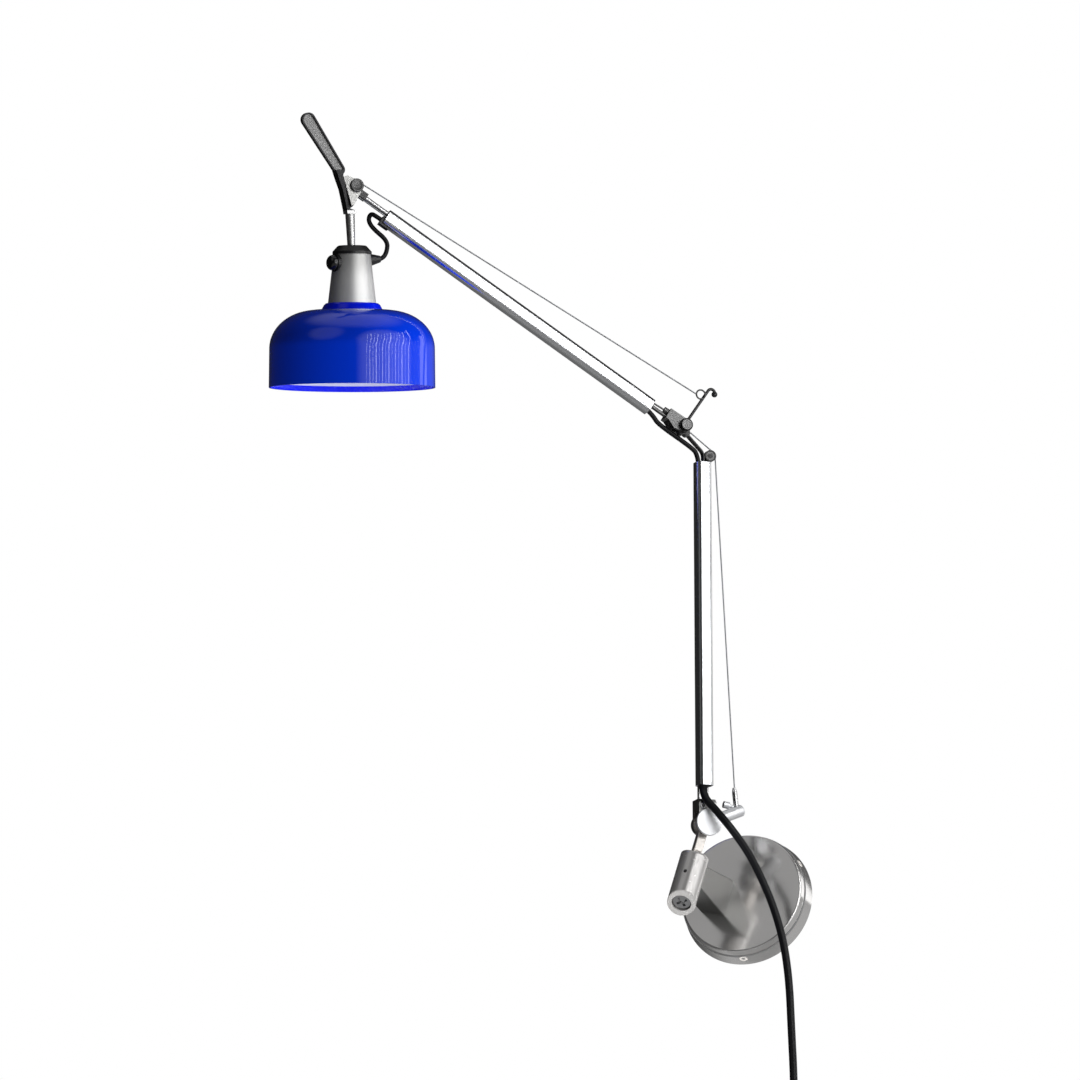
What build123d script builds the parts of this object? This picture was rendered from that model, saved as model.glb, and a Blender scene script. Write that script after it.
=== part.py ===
from build123d import *
import os
from math import acos, asin, atan2, cos, degrees, hypot, pi, radians, sin, sqrt, tan

# Articulating wall lamp, in millimetres.
# Origin: centre of the wall plate's back face. The wall is the plane Y = 0 and the lamp stands
# out towards -Y. +Z is up and +X is to the right for someone who faces the wall.

os.makedirs("parts", exist_ok=True)

# ---------------------------------------------------------------- stored pose, in degrees
mount_lean = 16.9  # the pivot barrel leans to the right by this much
swing = 38.5  # the hinge axes are turned from the wall's normal about the pivot axis
lower_lean = 17.3  # lower arm from the pivot axis, towards the reach side
upper_lean = 75.3  # upper arm from the pivot axis
head_lean = 20.4  # head stem from the pivot axis, before its roll
head_roll = -9.2  # head about the roll pin
roll_dip = 13.0  # the roll pin points down by this much

# ---------------------------------------------------------------- fits
slip = 0.05  # radial clearance of a pin in its hole
seat = 0.05  # clearance between pieces that are screwed together
side_play = 0.3  # gap between flat faces that turn past each other

# ---------------------------------------------------------------- wall mount
canopy_r = 60.0
canopy_depth = 22.0
canopy_wall = 2.0
canopy_edge_r = 1.4
plate_gap = 0.4  # between the wall plate's rim and the canopy
plate_t = 2.0
plate_rim_h = 15.0
wall_screw_pitch = 70.0
wall_slot_w = 5.0
wall_slot_l = 12.0
set_screw_h = 9.5  # from the wall
set_screw_r = 2.0
set_screw_head_r = 3.8
set_screw_l = 9.0
set_screw_count = 3
stiffener_t = 3.0
stiffener_w = 40.0
stiffener_h = 50.0

barrel_side = -21.5  # barrel axis from the canopy's centre, across the lean
barrel_out = 98.5  # barrel axis from the wall
barrel_r = 13.0
barrel_top = 5.0  # along the pivot axis, from the canopy's centre
barrel_cut = -42.0  # where the oblique end crosses the axis
barrel_edge_r = 3.0
cut_tilt = 32.5  # the end face is turned this much out of square, towards the room
cut_turn = 23.4  # and this much to the right
end_screw_r = 8.6
end_screw_head_t = 2.6
end_screw_shank_r = 2.5
end_screw_l = 27.0
end_recess = 1.8
bore_depth = 31.0
pin_r = 5.0
grub_drop = 20.7  # from the barrel's top
grub_r = 1.6
groove_depth = 0.9

block_w = 23.4
block_root_low = -23.5
block_root_high = 10.2
block_tip_high = -4.2
block_edge_r = 0.7
block_screw_r = 2.5
block_screw_head_r = 4.25
block_screw_head_t = 5.0
block_screw_pitch = 18.0
block_screw_grip = 13.0

# ---------------------------------------------------------------- swivel
hinge_rise = 34.1  # base hinge above the canopy's centre, along the pivot axis
washer_t = 1.0
washer_r = 7.0
bar_w = 8.0
bar_notch = 1.6
eye_r = 9.5
eye_t = 7.0
bracket_angle = -50.0  # from the pivot axis, away from the reach side
bracket_tongue_l = 18.0
bracket_tongue_t = 6.0
bracket_tongue_w = 5.6
bracket_r = 5.3
bracket_l = 39.5
ferrule_r = 2.3
ferrule_l = 19.5
ferrule_foot = (26.4, -23.2)
ferrule_tip = (43.2, -15.9)
bracket_screw_r = 3.1
bracket_screw_l = 9.6
bracket_screw_at = (23.6, -11.4)

# ---------------------------------------------------------------- lower arm
hinge_pin_r = 3.0
fork_r = 10.0
fork_t = 18.0
fork_l = 22.0
fork_half_w = 8.2
fork_slot_end = 11.5
fork_front_bevel = 3.5
disc_r = 12.2
disc_t = 3.0
disc_washer_r = 11.4
disc_washer_t = 1.6
nut_r = 7.0
nut_t = 4.0
cross_screw_at = (14.9, 5.2)
cross_screw_r = 2.4
cross_screw_head_t = 1.4
cross_screw_depth = 1.5
arm_rod_r = 1.1
arm_rod_y = 4.3
arm_rod_z = -3.6

tube_w = 14.6
tube_corner_r = 4.8
tube_wall = 1.2
tube_start = 35.0  # both arms: from the hinge to the tube
tube_l = 295.0
tube_end = tube_start + tube_l
plug_l = 9.0
plug_inset = 1.0
plug_fit = 0.1
spring_r = 2.9
spring_l = 170.0
spring_y = -2.6
spring_hook_r = 0.6
inner_lead_r = 2.15
inner_lead_y = 3.6
mains_r = 3.5
mains_entry = (2.4, 2.4)  # across the tube: towards the reach side, and to the front

elbow_along = tube_end + 32.0
elbow_side = 18.4
elbow_pin_r = 2.0
elbow_eye_r = 5.4
elbow_eye_t = 8.0
elbow_rod_r = 1.1
elbow_rod_z = 2.0
elbow_rod_y = -0.6
elbow_rod_turn = tube_end + 9.0
elbow_rod_end = (tube_end + 25.4, 15.2)
elbow_lug = (tube_end + 26.4, 20.4)
elbow_lug_r = 2.6
hook_r = 1.35
hook_root = (tube_end + 37.0, 14.5)
hook_top = (tube_end + 67.0, -6.2)
hook_curl_r = 3.4
hook_ball_r = 2.7
thimble_at = (tube_end + 62.5, 1.6)
thimble_r = 4.2
cable_r = 0.6
pulley_at = (tube_end + 6.7, -7.3)
pulley_r = 5.3
pulley_groove_r = 4.4
pulley_t = 5.0
pulley_pin_r = 1.5
pulley_arm_t = 1.4
lower_cable_end = (tube_end + 27.2, 11.2)

# ---------------------------------------------------------------- upper arm
cheek_t = 3.0
cheek_r = 6.0
cheek_block_start = 13.5
cheek_block_end = 19.0
knob_r = 5.9
knob_t = 4.6
upper_axis_y = 3.0  # the upper tube's axis lies below the line of its hinges
thin_rod_r = 0.85
thin_rod_y = (-3.5, -1.5)  # at the elbow and in the tube
thick_rod_r = 1.8
thick_rod_y = 1.4
clamp_ring_r = 2.9
clamp_ring_l = 3.6
head_along = tube_end + 38.3
head_side = -3.0
head_rod_r = 2.2
head_rod_y = -0.8
head_thin_rod_y = -5.0
yoke_r = 6.0
yoke_z = (-4.2, 0.0)
head_pulley_z = (0.5, 3.9)
head_pulley_r = 6.3
head_pulley_groove_r = 5.2
head_pin_r = 2.0
cap_r = 6.2
cap_t = 2.6

# ---------------------------------------------------------------- head
bracket_half = 7.0  # half width of the roll bracket across the hinge
bracket_slot = 5.3
bracket_slot_depth = 7.6  # along the roll pin, from the head hinge
bracket_face = 9.6  # along the roll pin, from the head hinge
roll_pin_r = 3.0
casting_t = 3.3
stem_r_low = 3.5
stem_r_high = 4.3
lever_tip = (59.3, 44.0)
lever_root = (15.4, 14.6)
lever_tip_r = 6.4
lever_root_r = 5.0
lever_t = 5.0
lever_rim = 1.3
lever_pocket = 2.2

lamp_axis_y = 2.0
holder_top = -52.4
cap_top_r = 12.5
cap_low_r = 17.6
cap_bevel_h = 5.3
cap_skirt_h = 2.4
neck_top_r = 16.3
neck_low_r = 21.6
neck_low = -104.0
neck_wall = 1.5
ring_r_top = 25.2
ring_r_low = 27.3
ring_h = 6.3
shade_r = 74.4
shade_shoulder_r = 40.0
shade_shoulder_h = 34.0
shade_top = -110.4
shade_h = 68.8
shade_wall = 1.4
shade_hole_r = 17.2
holder_r = 14.4
holder_low = -108.0
socket_r = 13.2
nut_low = 2.6
lamp_cap_r = 12.9
lamp_cap_l = 24.0
globe_r = 22.5
globe_at = -133.5
switch_drop = -68.2
switch_turn = 12.0
switch_r = 7.0
switch_bezel_r = 7.9
switch_stand = 7.6
switch_travel = 2.0
gland_drop = -66.4
gland_r = 5.6
gland_tip = (-63.6, -24.6)
head_lead_r = 2.05
head_lead_z = -1.6

# ---------------------------------------------------------------- mains lead
coil_r = 48.5
coil_wall = 28.5
coil_t = 14.5
coil_centre = (8.6, -42.0, -262.0)
tie_w = 5.0
tie_t = 0.8
plug_face_at = (8.0, -34.0)  # from the coil's centre
plug_body_l = 33.0
plug_body_w = 35.3
plug_body_t = 13.7
plug_pin_r = 2.0
plug_pin_l = 19.0
plug_pin_pitch = 19.0


# ================================================================ frames
def plane_at(origin, x_dir, z_dir):
    return Plane(origin=origin, x_dir=x_dir, z_dir=z_dir)


out_dir = Vector(0, -1, 0)
side_dir = Vector(cos(radians(mount_lean)), 0, -sin(radians(mount_lean)))
post_dir = Vector(sin(radians(mount_lean)), 0, cos(radians(mount_lean)))
hinge_dir = out_dir * cos(radians(swing)) + side_dir * sin(radians(swing))
reach_dir = hinge_dir.cross(post_dir)

wall = plane_at((0, 0, 0), (1, 0, 0), out_dir)  # X right, Y up, Z out of the wall
mount = plane_at((0, 0, 0), side_dir, out_dir)  # X across the lean, Y along the pivot axis, Z out


def leaning(origin, lean):
    """Frame of an arm: X along it, Y towards the reach side, Z along the hinge to the front."""
    along = reach_dir * sin(radians(lean)) + post_dir * cos(radians(lean))
    return plane_at(origin, along, hinge_dir)


base_point = side_dir * barrel_side + out_dir * barrel_out + post_dir * hinge_rise
post = leaning(base_point, 0)
lower = leaning(base_point, lower_lean)
elbow_point = lower.from_local_coords(Vector(elbow_along, elbow_side, 0))
upper = leaning(elbow_point, upper_lean)
head_point = upper.from_local_coords(Vector(head_along, head_side, 0))
clutch = leaning(head_point, head_lean)
roll_dir = clutch.y_dir * cos(radians(roll_dip)) - clutch.x_dir * sin(radians(roll_dip))
roll_axis = Axis(head_point, roll_dir)
roll = plane_at(head_point, roll_dir.cross(hinge_dir) * -1, roll_dir)  # Z along the roll pin


# ================================================================ helpers
upright = (Align.CENTER, Align.CENTER, Align.MIN)


def put(frame, shape):
    return frame.location * shape


def put_head(shape):
    """A head piece, modelled in the clutch's frame and turned with the head's roll."""
    return put(clutch, shape).rotate(roll_axis, head_roll)


def save(name, shape):
    export_step(shape, f"parts/{name}.step")


def post_z(r, z0, z1, at=(0, 0)):
    """Round bar along Z from z0 to z1."""
    return Pos(at[0], at[1], z0) * Cylinder(r, z1 - z0, align=upright)


def bar_between(a, b, r):
    """Round bar from point a to point b."""
    a = Vector(*a)
    b = Vector(*b)
    return Plane(origin=a, z_dir=b - a).location * Cylinder(r, (b - a).length, align=upright)


def flat(sketch, z0, z1):
    """Plate of a sketch's outline, from z0 to z1."""
    return Pos(0, 0, z0) * extrude(sketch, z1 - z0)


def spot(r, at):
    return Pos(at[0], at[1]) * Circle(r)


def hull_of(*circles):
    """Outline that a belt round the given circles would take."""
    edges = ShapeList()
    for c in circles:
        edges.extend(c.edges())
    return make_hull(edges)


def outline(*points):
    return make_face(Polyline(*points, close=True))


def swept(points, radii, r):
    """Round bar or lead that follows straight runs joined by arcs."""
    path = FilletPolyline(*points, radius=radii) if len(points) > 2 else Line(*points)
    start = Plane(origin=path @ 0, z_dir=path % 0)
    return sweep(start * Circle(r), path=path)


def run_radii(points):
    """For each corner, 0.45 of the shorter run over the tangent of half the turn."""
    radii = []
    for a, b, c in zip(points, points[1:], points[2:]):
        first = Vector(*b) - Vector(*a)
        second = Vector(*c) - Vector(*b)
        turn = radians(first.get_angle(second))
        radii.append(0.45 * min(first.length, second.length) / tan(turn / 2))
    return radii


def lead(points, r):
    return swept(points, run_radii(points), r)


# ================================================================ wall mount
def radial(angle, height, shape):
    """A shape that lies along X from the wall frame's axis, turned by an angle."""
    return Rot(0, 0, angle) * Pos(0, 0, height) * Rot(0, 90, 0) * shape


def set_screw_angles():
    return [-92 + 360 / set_screw_count * k for k in range(set_screw_count)]


def countersunk(head_r, shank_r, shank_l, outer):
    """Countersunk screw along Z with its flat head at the height outer."""
    head_t = head_r - shank_r
    head = Pos(0, 0, outer - head_t) * Cone(shank_r, head_r, head_t, align=upright)
    return head + post_z(shank_r, outer - shank_l, outer - head_t + 0.01)


def set_screw_top():
    return canopy_r - 0.3


def make_canopy():
    cup = Cylinder(canopy_r, canopy_depth, align=upright)
    cup = fillet(cup.edges().group_by(Axis.Z)[-1], canopy_edge_r)
    cup -= Cylinder(canopy_r - canopy_wall, canopy_depth - canopy_wall, align=upright)
    for angle in set_screw_angles():
        hole = countersunk(set_screw_head_r + slip, set_screw_r + slip, 2 * set_screw_l, set_screw_top())
        hole += post_z(set_screw_head_r + slip, set_screw_top() - 0.01, canopy_r + 1)
        cup -= radial(angle, set_screw_h, hole)
    cup = put(wall, cup)
    for y in block_screw_rows():
        cup -= put(mount, post_z(block_screw_r + slip, 0, 2 * canopy_depth, (barrel_side, y)))
    return cup


def make_set_screws():
    screws = Part()
    for angle in set_screw_angles():
        screw = countersunk(set_screw_head_r, set_screw_r, set_screw_l, set_screw_top())
        screw -= Pos(0, 0, canopy_r - 1.6) * extrude(RegularPolygon(1.5, 6), 3)
        screws += radial(angle, set_screw_h, screw)
    return put(wall, screws)


def make_wall_plate():
    outer = canopy_r - canopy_wall - plate_gap
    dish = Cylinder(outer, plate_rim_h, align=upright)
    dish -= Pos(0, 0, plate_t) * Cylinder(outer - plate_t, plate_rim_h, align=upright)
    for x in (-wall_screw_pitch / 2, wall_screw_pitch / 2):
        slot = SlotOverall(wall_slot_l, wall_slot_w)
        dish -= Pos(x, 0, -1) * extrude(slot, plate_t + 2)
    dish -= post_z(9, -1, plate_t + 1)
    for angle in set_screw_angles():
        hole = post_z(set_screw_r + slip, outer - 2 * plate_t, outer + 1)
        dish -= radial(angle, set_screw_h, hole)
    return put(wall, dish)


def block_screw_rows():
    middle = (block_root_low + block_root_high) / 2
    return [middle - block_screw_pitch / 2, middle + block_screw_pitch / 2]


def make_stiffener():
    middle = (block_root_low + block_root_high) / 2
    low = canopy_depth - canopy_wall - stiffener_t
    plate = Pos(barrel_side, middle) * RectangleRounded(stiffener_w, stiffener_h, 5)
    plate = flat(plate, low, low + stiffener_t)
    for y in block_screw_rows():
        plate -= post_z(block_screw_r + slip, 0, 2 * canopy_depth, (barrel_side, y))
    return put(mount, plate)


def make_block_screws():
    under = canopy_depth - canopy_wall - stiffener_t
    screws = Part()
    for y in block_screw_rows():
        at = (barrel_side, y)
        screw = post_z(block_screw_head_r, under - block_screw_head_t, under, at)
        screw += post_z(block_screw_r, under, canopy_depth + block_screw_grip, at)
        socket = Pos(at[0], at[1], under - block_screw_head_t) * extrude(RegularPolygon(2.2, 6), 2.5)
        screws += screw - socket
    return put(mount, screws)


def barrel_blank(grow=0.0):
    """The barrel before its holes, along the pivot axis, in the mount frame."""
    low = barrel_cut - 2 * barrel_r
    blank = Cylinder(barrel_r + grow, barrel_top - low, align=upright)
    blank = Plane.XZ.location * Rot(0, 180, 0) * Pos(0, 0, low) * blank
    return Pos(barrel_side, 0, barrel_out) * blank


def along_pivot(r, y0, y1):
    """Round bar on the pivot axis, in the mount frame."""
    a = (barrel_side, y0, barrel_out)
    return bar_between(a, (barrel_side, y1, barrel_out), r)


def end_face():
    """Plane of the barrel's oblique end, in the mount frame: Z points out of the end."""
    tilt = radians(cut_tilt)
    turn = radians(cut_turn)
    normal = Vector(sin(tilt) * sin(turn), -cos(tilt), sin(tilt) * cos(turn))
    return Plane(origin=(barrel_side, barrel_cut, barrel_out), x_dir=(1, 0, 0.01), z_dir=normal)


def make_barrel():
    barrel = along_pivot(barrel_r, barrel_cut - 2 * barrel_r, barrel_top)
    barrel = fillet(barrel.edges().group_by(Axis.Y)[-1], barrel_edge_r)
    cutter = end_face().location * Box(200, 200, 100, align=upright)
    barrel -= cutter
    rim = barrel.edges().group_by(Axis.Y)[0]
    barrel = chamfer(rim, 0.5)
    face = end_face().location
    barrel -= face * post_z(end_screw_r + 0.3, -end_recess - end_screw_head_t, 5)
    barrel -= face * post_z(end_screw_shank_r + seat, -3 * barrel_r, 0)
    barrel -= along_pivot(pin_r + slip, barrel_top - bore_depth, barrel_top + 1)
    barrel -= grub_hole()
    return put(mount, barrel)


def grub_hole():
    y = barrel_top - grub_drop
    a = (barrel_side, y, barrel_out)
    return bar_between(a, (barrel_side, y, barrel_out + 2 * barrel_r), grub_r + slip)


def make_grub_screw():
    y = barrel_top - grub_drop
    inner = (barrel_side, y, barrel_out + pin_r - groove_depth + 0.2)
    outer = (barrel_side, y, barrel_out + barrel_r - 0.5)
    screw = bar_between(inner, outer, grub_r)
    slot = Pos(barrel_side, y, barrel_out + barrel_r - 0.5) * Rot(0, 0, 40) * Box(4, 0.6, 1.6)
    return put(mount, screw - slot)


def cross_recess(size, depth, top):
    """Cross recess that narrows as it goes in, below the height top."""
    arm = Pos(0, 0, top - depth) * extrude(Rectangle(size * 0.24, size), depth + 1)
    arm = arm + Pos(0, 0, top - depth) * extrude(Rectangle(size, size * 0.24), depth + 1)
    core = Pos(0, 0, top - depth) * Cone(size * 0.18, size * 0.32, depth + 1, align=upright)
    return arm + core


def make_end_screw():
    face = end_face().location
    head = post_z(end_screw_r, -end_recess - end_screw_head_t + 0.05, -end_recess)
    head = fillet(head.edges().group_by(Axis.Z)[-1], 0.9)
    head -= Rot(0, 0, 25) * cross_recess(2 * end_screw_r * 0.62, 1.9, -end_recess)
    shank = post_z(end_screw_shank_r, -end_screw_l, -end_recess - end_screw_head_t + 0.06)
    return put(mount, face * (head + shank))


def make_block():
    points = [
        (canopy_depth, block_root_high),
        (canopy_depth, block_root_low),
        (barrel_out, block_root_low),
        (barrel_out, block_tip_high),
    ]
    profile = Plane(origin=(barrel_side - block_w / 2, 0, 0), x_dir=(0, 0, 1), z_dir=(1, 0, 0))
    arm = extrude(profile * outline(*[(x, -y) for x, y in points]), block_w)
    long_edges = arm.edges().filter_by(lambda e: abs((e % 0.5).Z) > 0.9)
    arm = chamfer(long_edges, block_edge_r)
    arm -= along_pivot(barrel_r + seat, -100, 100)
    for y in block_screw_rows():
        arm -= post_z(block_screw_r + slip, 0, canopy_depth + block_screw_grip + 2, (barrel_side, y))
    arm -= end_face().location * post_z(end_screw_shank_r + seat, -end_screw_l - 1, 0)
    return put(mount, arm)


# ================================================================ swivel
def on_post(x0, x1, r):
    """Round bar on the pivot axis, in the post frame."""
    return bar_between((x0, 0, 0), (x1, 0, 0), r)


def barrel_top_x():
    return barrel_top - hinge_rise


def make_pivot_post():
    top = barrel_top_x()
    pin_end = top - bore_depth + 1.5
    body = on_post(pin_end, top + washer_t + 0.5, pin_r)
    groove = top - grub_drop
    ring = on_post(groove - 2, groove + 2, pin_r + 1) - on_post(groove - 3, groove + 3, pin_r - groove_depth)
    body -= ring
    body += on_post(top, top + washer_t, washer_r)
    bar_l = -(top + washer_t)
    bar = Pos(-bar_l / 2, 0, 0) * Box(bar_l, bar_w, bar_w)
    long_edges = bar.edges().filter_by(Axis.X)
    bar = chamfer(long_edges, 0.5)
    notch = Pos(top + washer_t + 1.2, 0, bar_w / 2) * Box(1.6, bar_w * 0.7, 2 * bar_notch)
    eye = fillet(post_z(eye_r, -eye_t / 2, eye_t / 2).edges(), 0.6)
    room = post_z(fork_r + side_play, -fork_t, fork_t)
    plate = Box(4 * eye_r, 4 * eye_r, eye_t)
    body = body + (bar - notch - (room - plate)) + eye
    saw_cut = Pos(0, eye_r * 0.75, 0) * Box(1.3, eye_r * 0.6, 2 * eye_t)
    hub = body - saw_cut - post_z(hinge_pin_r + slip, -fork_t, fork_t)
    reach = hypot(bracket_tongue_l, 0)
    hub -= turned_bracket(bar_between((eye_r - 4, 0, 0), (reach, 0, 0), 2 + slip))
    return put(post, hub)


def turned_bracket(shape):
    return Rot(0, 0, bracket_angle) * shape


def make_cable_bracket():
    start = eye_r + 0.3
    tongue = Pos((start + bracket_tongue_l) / 2, 0, 0) * Box(
        bracket_tongue_l - start, bracket_tongue_w, bracket_tongue_t
    )
    tongue -= post_z(eye_r + 0.3, -fork_t, fork_t)
    arm = bar_between((bracket_tongue_l, 0, 0), (bracket_l, 0, 0), bracket_r)
    arm = fillet(arm.edges().group_by(Axis.X)[-1], 2.4)
    spigot = bar_between((eye_r - 3.5, 0, 0), (bracket_tongue_l, 0, 0), 2)
    body = turned_bracket(tongue + arm + spigot)
    body -= ferrule_bore()
    body -= bracket_screw_line(bracket_screw_r * 0.5 + slip, 30)
    return put(post, body)


def ferrule_line():
    a = Vector(ferrule_foot[0], ferrule_foot[1], 0)
    b = Vector(ferrule_tip[0], ferrule_tip[1], 0)
    return a, (b - a).normalized()


def ferrule_bore():
    foot, way = ferrule_line()
    a = foot - way * 3.4
    return bar_between(tuple(a), tuple(foot + way * 20), ferrule_r + slip)


def make_ferrule():
    foot, way = ferrule_line()
    a = foot - way * 3.0
    sleeve = Cylinder(ferrule_r, ferrule_l - 4, align=upright)
    tip = Pos(0, 0, ferrule_l - 4) * Cone(ferrule_r, cable_r + 0.9, 4, align=upright)
    body = sleeve + tip - post_z(cable_r + 0.45, ferrule_l - 9, ferrule_l + 1)
    return put(post, Plane(origin=a, z_dir=way).location * body)


def bracket_screw_line(r, length):
    """Bar along the bracket screw, which lies beside the round bar and enters it."""
    a = Vector(bracket_screw_at[0], bracket_screw_at[1], 0)
    return bar_between(tuple(a), tuple(a + bracket_screw_way() * length), r)


def bracket_screw_way():
    return Vector(0.12, -0.993, 0)


def make_bracket_screw():
    a = Vector(bracket_screw_at[0], bracket_screw_at[1], 0)
    head = post_z(bracket_screw_r, 0, 5.2)
    head -= Pos(0, 0, -0.1) * extrude(RegularPolygon(1.7, 6), 2.4)
    shank = post_z(bracket_screw_r * 0.5, 5.1, bracket_screw_l)
    return put(post, Plane(origin=a, z_dir=bracket_screw_way()).location * (head + shank))


# ================================================================ lower arm
def rounded_square(w, corner_r):
    return RectangleRounded(w, w, corner_r)


def across(x, sketch, length, y=0.0):
    """Extrude a sketch drawn across an arm, from x along the arm."""
    return Pos(x, y, 0) * Plane.YZ.location * extrude(sketch, length)


def make_base_fork():
    profile = Circle(fork_r) + Pos(fork_l / 2, 0) * Rectangle(fork_l, 2 * fork_half_w)
    body = flat(profile, -fork_t / 2, fork_t / 2)
    front = body.edges().group_by(Axis.X)[-1].filter_by(Axis.Y).sort_by(Axis.Z)
    body = chamfer(front[-1], fork_front_bevel)
    gap = eye_t / 2 + side_play
    slot = Pos((fork_slot_end - 30) / 2, 0, 0) * Box(fork_slot_end + 30, 60, 2 * gap)
    body -= slot
    body -= post_z(hinge_pin_r + slip, -fork_t, fork_t)
    for y in (-arm_rod_y, arm_rod_y):
        body -= bar_between((fork_slot_end + 1, y, arm_rod_z), (40, y, arm_rod_z), arm_rod_r + slip)
    body -= post_z(cross_screw_r * 0.45 + slip, -cross_screw_depth - slip, fork_t, cross_screw_at)
    return put(lower, body)


def make_base_axle():
    """Bolt of the base hinge, with its domed nut behind and its washer in front."""
    low = -fork_t / 2 - nut_t
    nut = post_z(nut_r, low, -fork_t / 2)
    nut = fillet(nut.edges().group_by(Axis.Z)[0], 1.8)
    washer = post_z(disc_washer_r, fork_t / 2, fork_t / 2 + disc_washer_t)
    front = fork_t / 2 + disc_washer_t + disc_t * 0.5
    bolt = post_z(hinge_pin_r, low + 1, front)
    return put(lower, nut + washer + bolt)


def make_tilt_disc():
    low = fork_t / 2 + disc_washer_t
    disc = post_z(disc_r, low, low + disc_t)
    disc = chamfer(disc.edges().group_by(Axis.Z)[-1], 0.4)
    disc -= post_z(hinge_pin_r + slip, low - 1, low + disc_t * 0.55)
    return put(lower, disc)


def make_cross_screw():
    at = cross_screw_at
    head = post_z(cross_screw_r, fork_t / 2, fork_t / 2 + cross_screw_head_t, at)
    head = fillet(head.edges().group_by(Axis.Z)[-1], 0.8)
    screw = head + post_z(cross_screw_r * 0.45, -cross_screw_depth, fork_t / 2, at)
    top = fork_t / 2 + cross_screw_head_t
    screw -= Pos(at[0], at[1], top - 1.0) * extrude(RegularPolygon(1.1, 6), 2)
    return put(lower, screw)


def make_arm_rods():
    rods = Part()
    for y in (-arm_rod_y, arm_rod_y):
        a = (fork_slot_end + 1.5, y, arm_rod_z)
        rods += bar_between(a, (tube_start + plug_inset + plug_l - 1, y, arm_rod_z), arm_rod_r)
    return put(lower, rods)


def tube(length):
    outer = rounded_square(tube_w, tube_corner_r)
    inner = rounded_square(tube_w - 2 * tube_wall, tube_corner_r - tube_wall)
    return across(0, outer - inner, length)


def plug_blank():
    size = tube_w - 2 * tube_wall - 2 * plug_fit
    return across(0, rounded_square(size, tube_corner_r - tube_wall - plug_fit), plug_l)


def make_lower_tube():
    return put(lower, Pos(tube_start, 0, 0) * tube(tube_l))


def make_lower_foot_plug():
    x = tube_start + plug_inset
    plug = Pos(x, 0, 0) * plug_blank()
    for y in (-arm_rod_y, arm_rod_y):
        plug -= bar_between((0, y, arm_rod_z), (x + plug_l - 0.5, y, arm_rod_z), arm_rod_r + slip)
    y, z = mains_entry
    plug -= bar_between((0, y, z), (2 * x, y, z), mains_r + 0.15)
    return put(lower, plug)


def make_lower_top_plug():
    end = tube_end - plug_inset
    plug = Pos(end - plug_l, 0, 0) * plug_blank()
    for z in (-elbow_rod_z, elbow_rod_z):
        a = (end - plug_l + 1, elbow_rod_y, z)
        plug -= bar_between(a, (end + 5, elbow_rod_y, z), elbow_rod_r + slip)
    plug -= bar_between((0, inner_lead_y, 0), (500, inner_lead_y, 0), inner_lead_r + slip)
    plug -= pulley_tongue(slip)
    return put(lower, plug)


def spring(start, y, z):
    """Tension spring, drawn as a sleeve of its outer size with a hooked end on each side."""
    a = (start, y, z)
    b = (start + spring_l, y, z)
    body = bar_between(a, b, spring_r) - bar_between((start - 1, y, z), (b[0] + 1, y, z), spring_r - 1)
    for x, way in ((start, -1), (b[0], 1)):
        hook = bar_between((x - way * 1.5, y + spring_r - 0.6, z), (x + way * 7, y, z), spring_hook_r)
        body += hook
    return body


def make_lower_spring():
    return put(lower, spring(tube_start + 60, spring_y, 0))


def make_elbow_rods():
    rods = Part()
    x0 = tube_end - plug_inset - plug_l + 1.5
    for z in (-elbow_rod_z, elbow_rod_z):
        points = [
            (x0, elbow_rod_y, z),
            (elbow_rod_turn, elbow_rod_y, z),
            (elbow_rod_end[0], elbow_rod_end[1], z),
        ]
        rods += swept(points, 9.0, elbow_rod_r)
    return put(lower, rods)


def elbow_local(shape):
    return Pos(elbow_along, elbow_side, 0) * shape


def make_elbow_eye():
    half = elbow_eye_t / 2
    plate = hull_of(spot(elbow_eye_r, (elbow_along, elbow_side)), spot(elbow_lug_r, elbow_lug))
    plate = plate + hull_of(spot(elbow_eye_r, (elbow_along, elbow_side)), spot(2.4, elbow_rod_end))
    plate = plate + hull_of(spot(elbow_eye_r, (elbow_along, elbow_side)), spot(2.6, hook_root))
    eye = flat(plate, -half, half)
    eye -= elbow_local(post_z(elbow_pin_r + slip, -20, 20))
    turn = Vector(elbow_rod_turn, elbow_rod_y, 0)
    end = Vector(elbow_rod_end[0], elbow_rod_end[1], 0)
    for z in (-elbow_rod_z, elbow_rod_z):
        lift = Vector(0, 0, z)
        eye -= bar_between(tuple(turn + lift), tuple(end + lift), elbow_rod_r + slip)
    eye -= hook_blank(hook_r + slip)
    return put(lower, eye)


def hook_blank(r):
    a = (hook_root[0], hook_root[1], 0)
    return bar_between(a, (hook_top[0], hook_top[1], 0), r)


def make_cable_hook():
    root = Vector(hook_root[0], hook_root[1])
    top = Vector(hook_top[0], hook_top[1])
    way = (top - root).normalized()
    turn_in = Vector(way.Y, -way.X)
    straight = Line(root, top)
    centre = top + turn_in * hook_curl_r
    start = degrees(atan2(-turn_in.Y, -turn_in.X))
    curl = CenterArc(centre, hook_curl_r, start, -165)
    path = Wire([straight.edge(), curl.edge()])
    section = Plane(origin=path @ 0, z_dir=path % 0)
    body = sweep(section * Circle(hook_r), path=path)
    end = path @ 1
    body += Pos(end.X, end.Y, end.Z) * Sphere(hook_ball_r)
    return put(lower, body)


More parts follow.
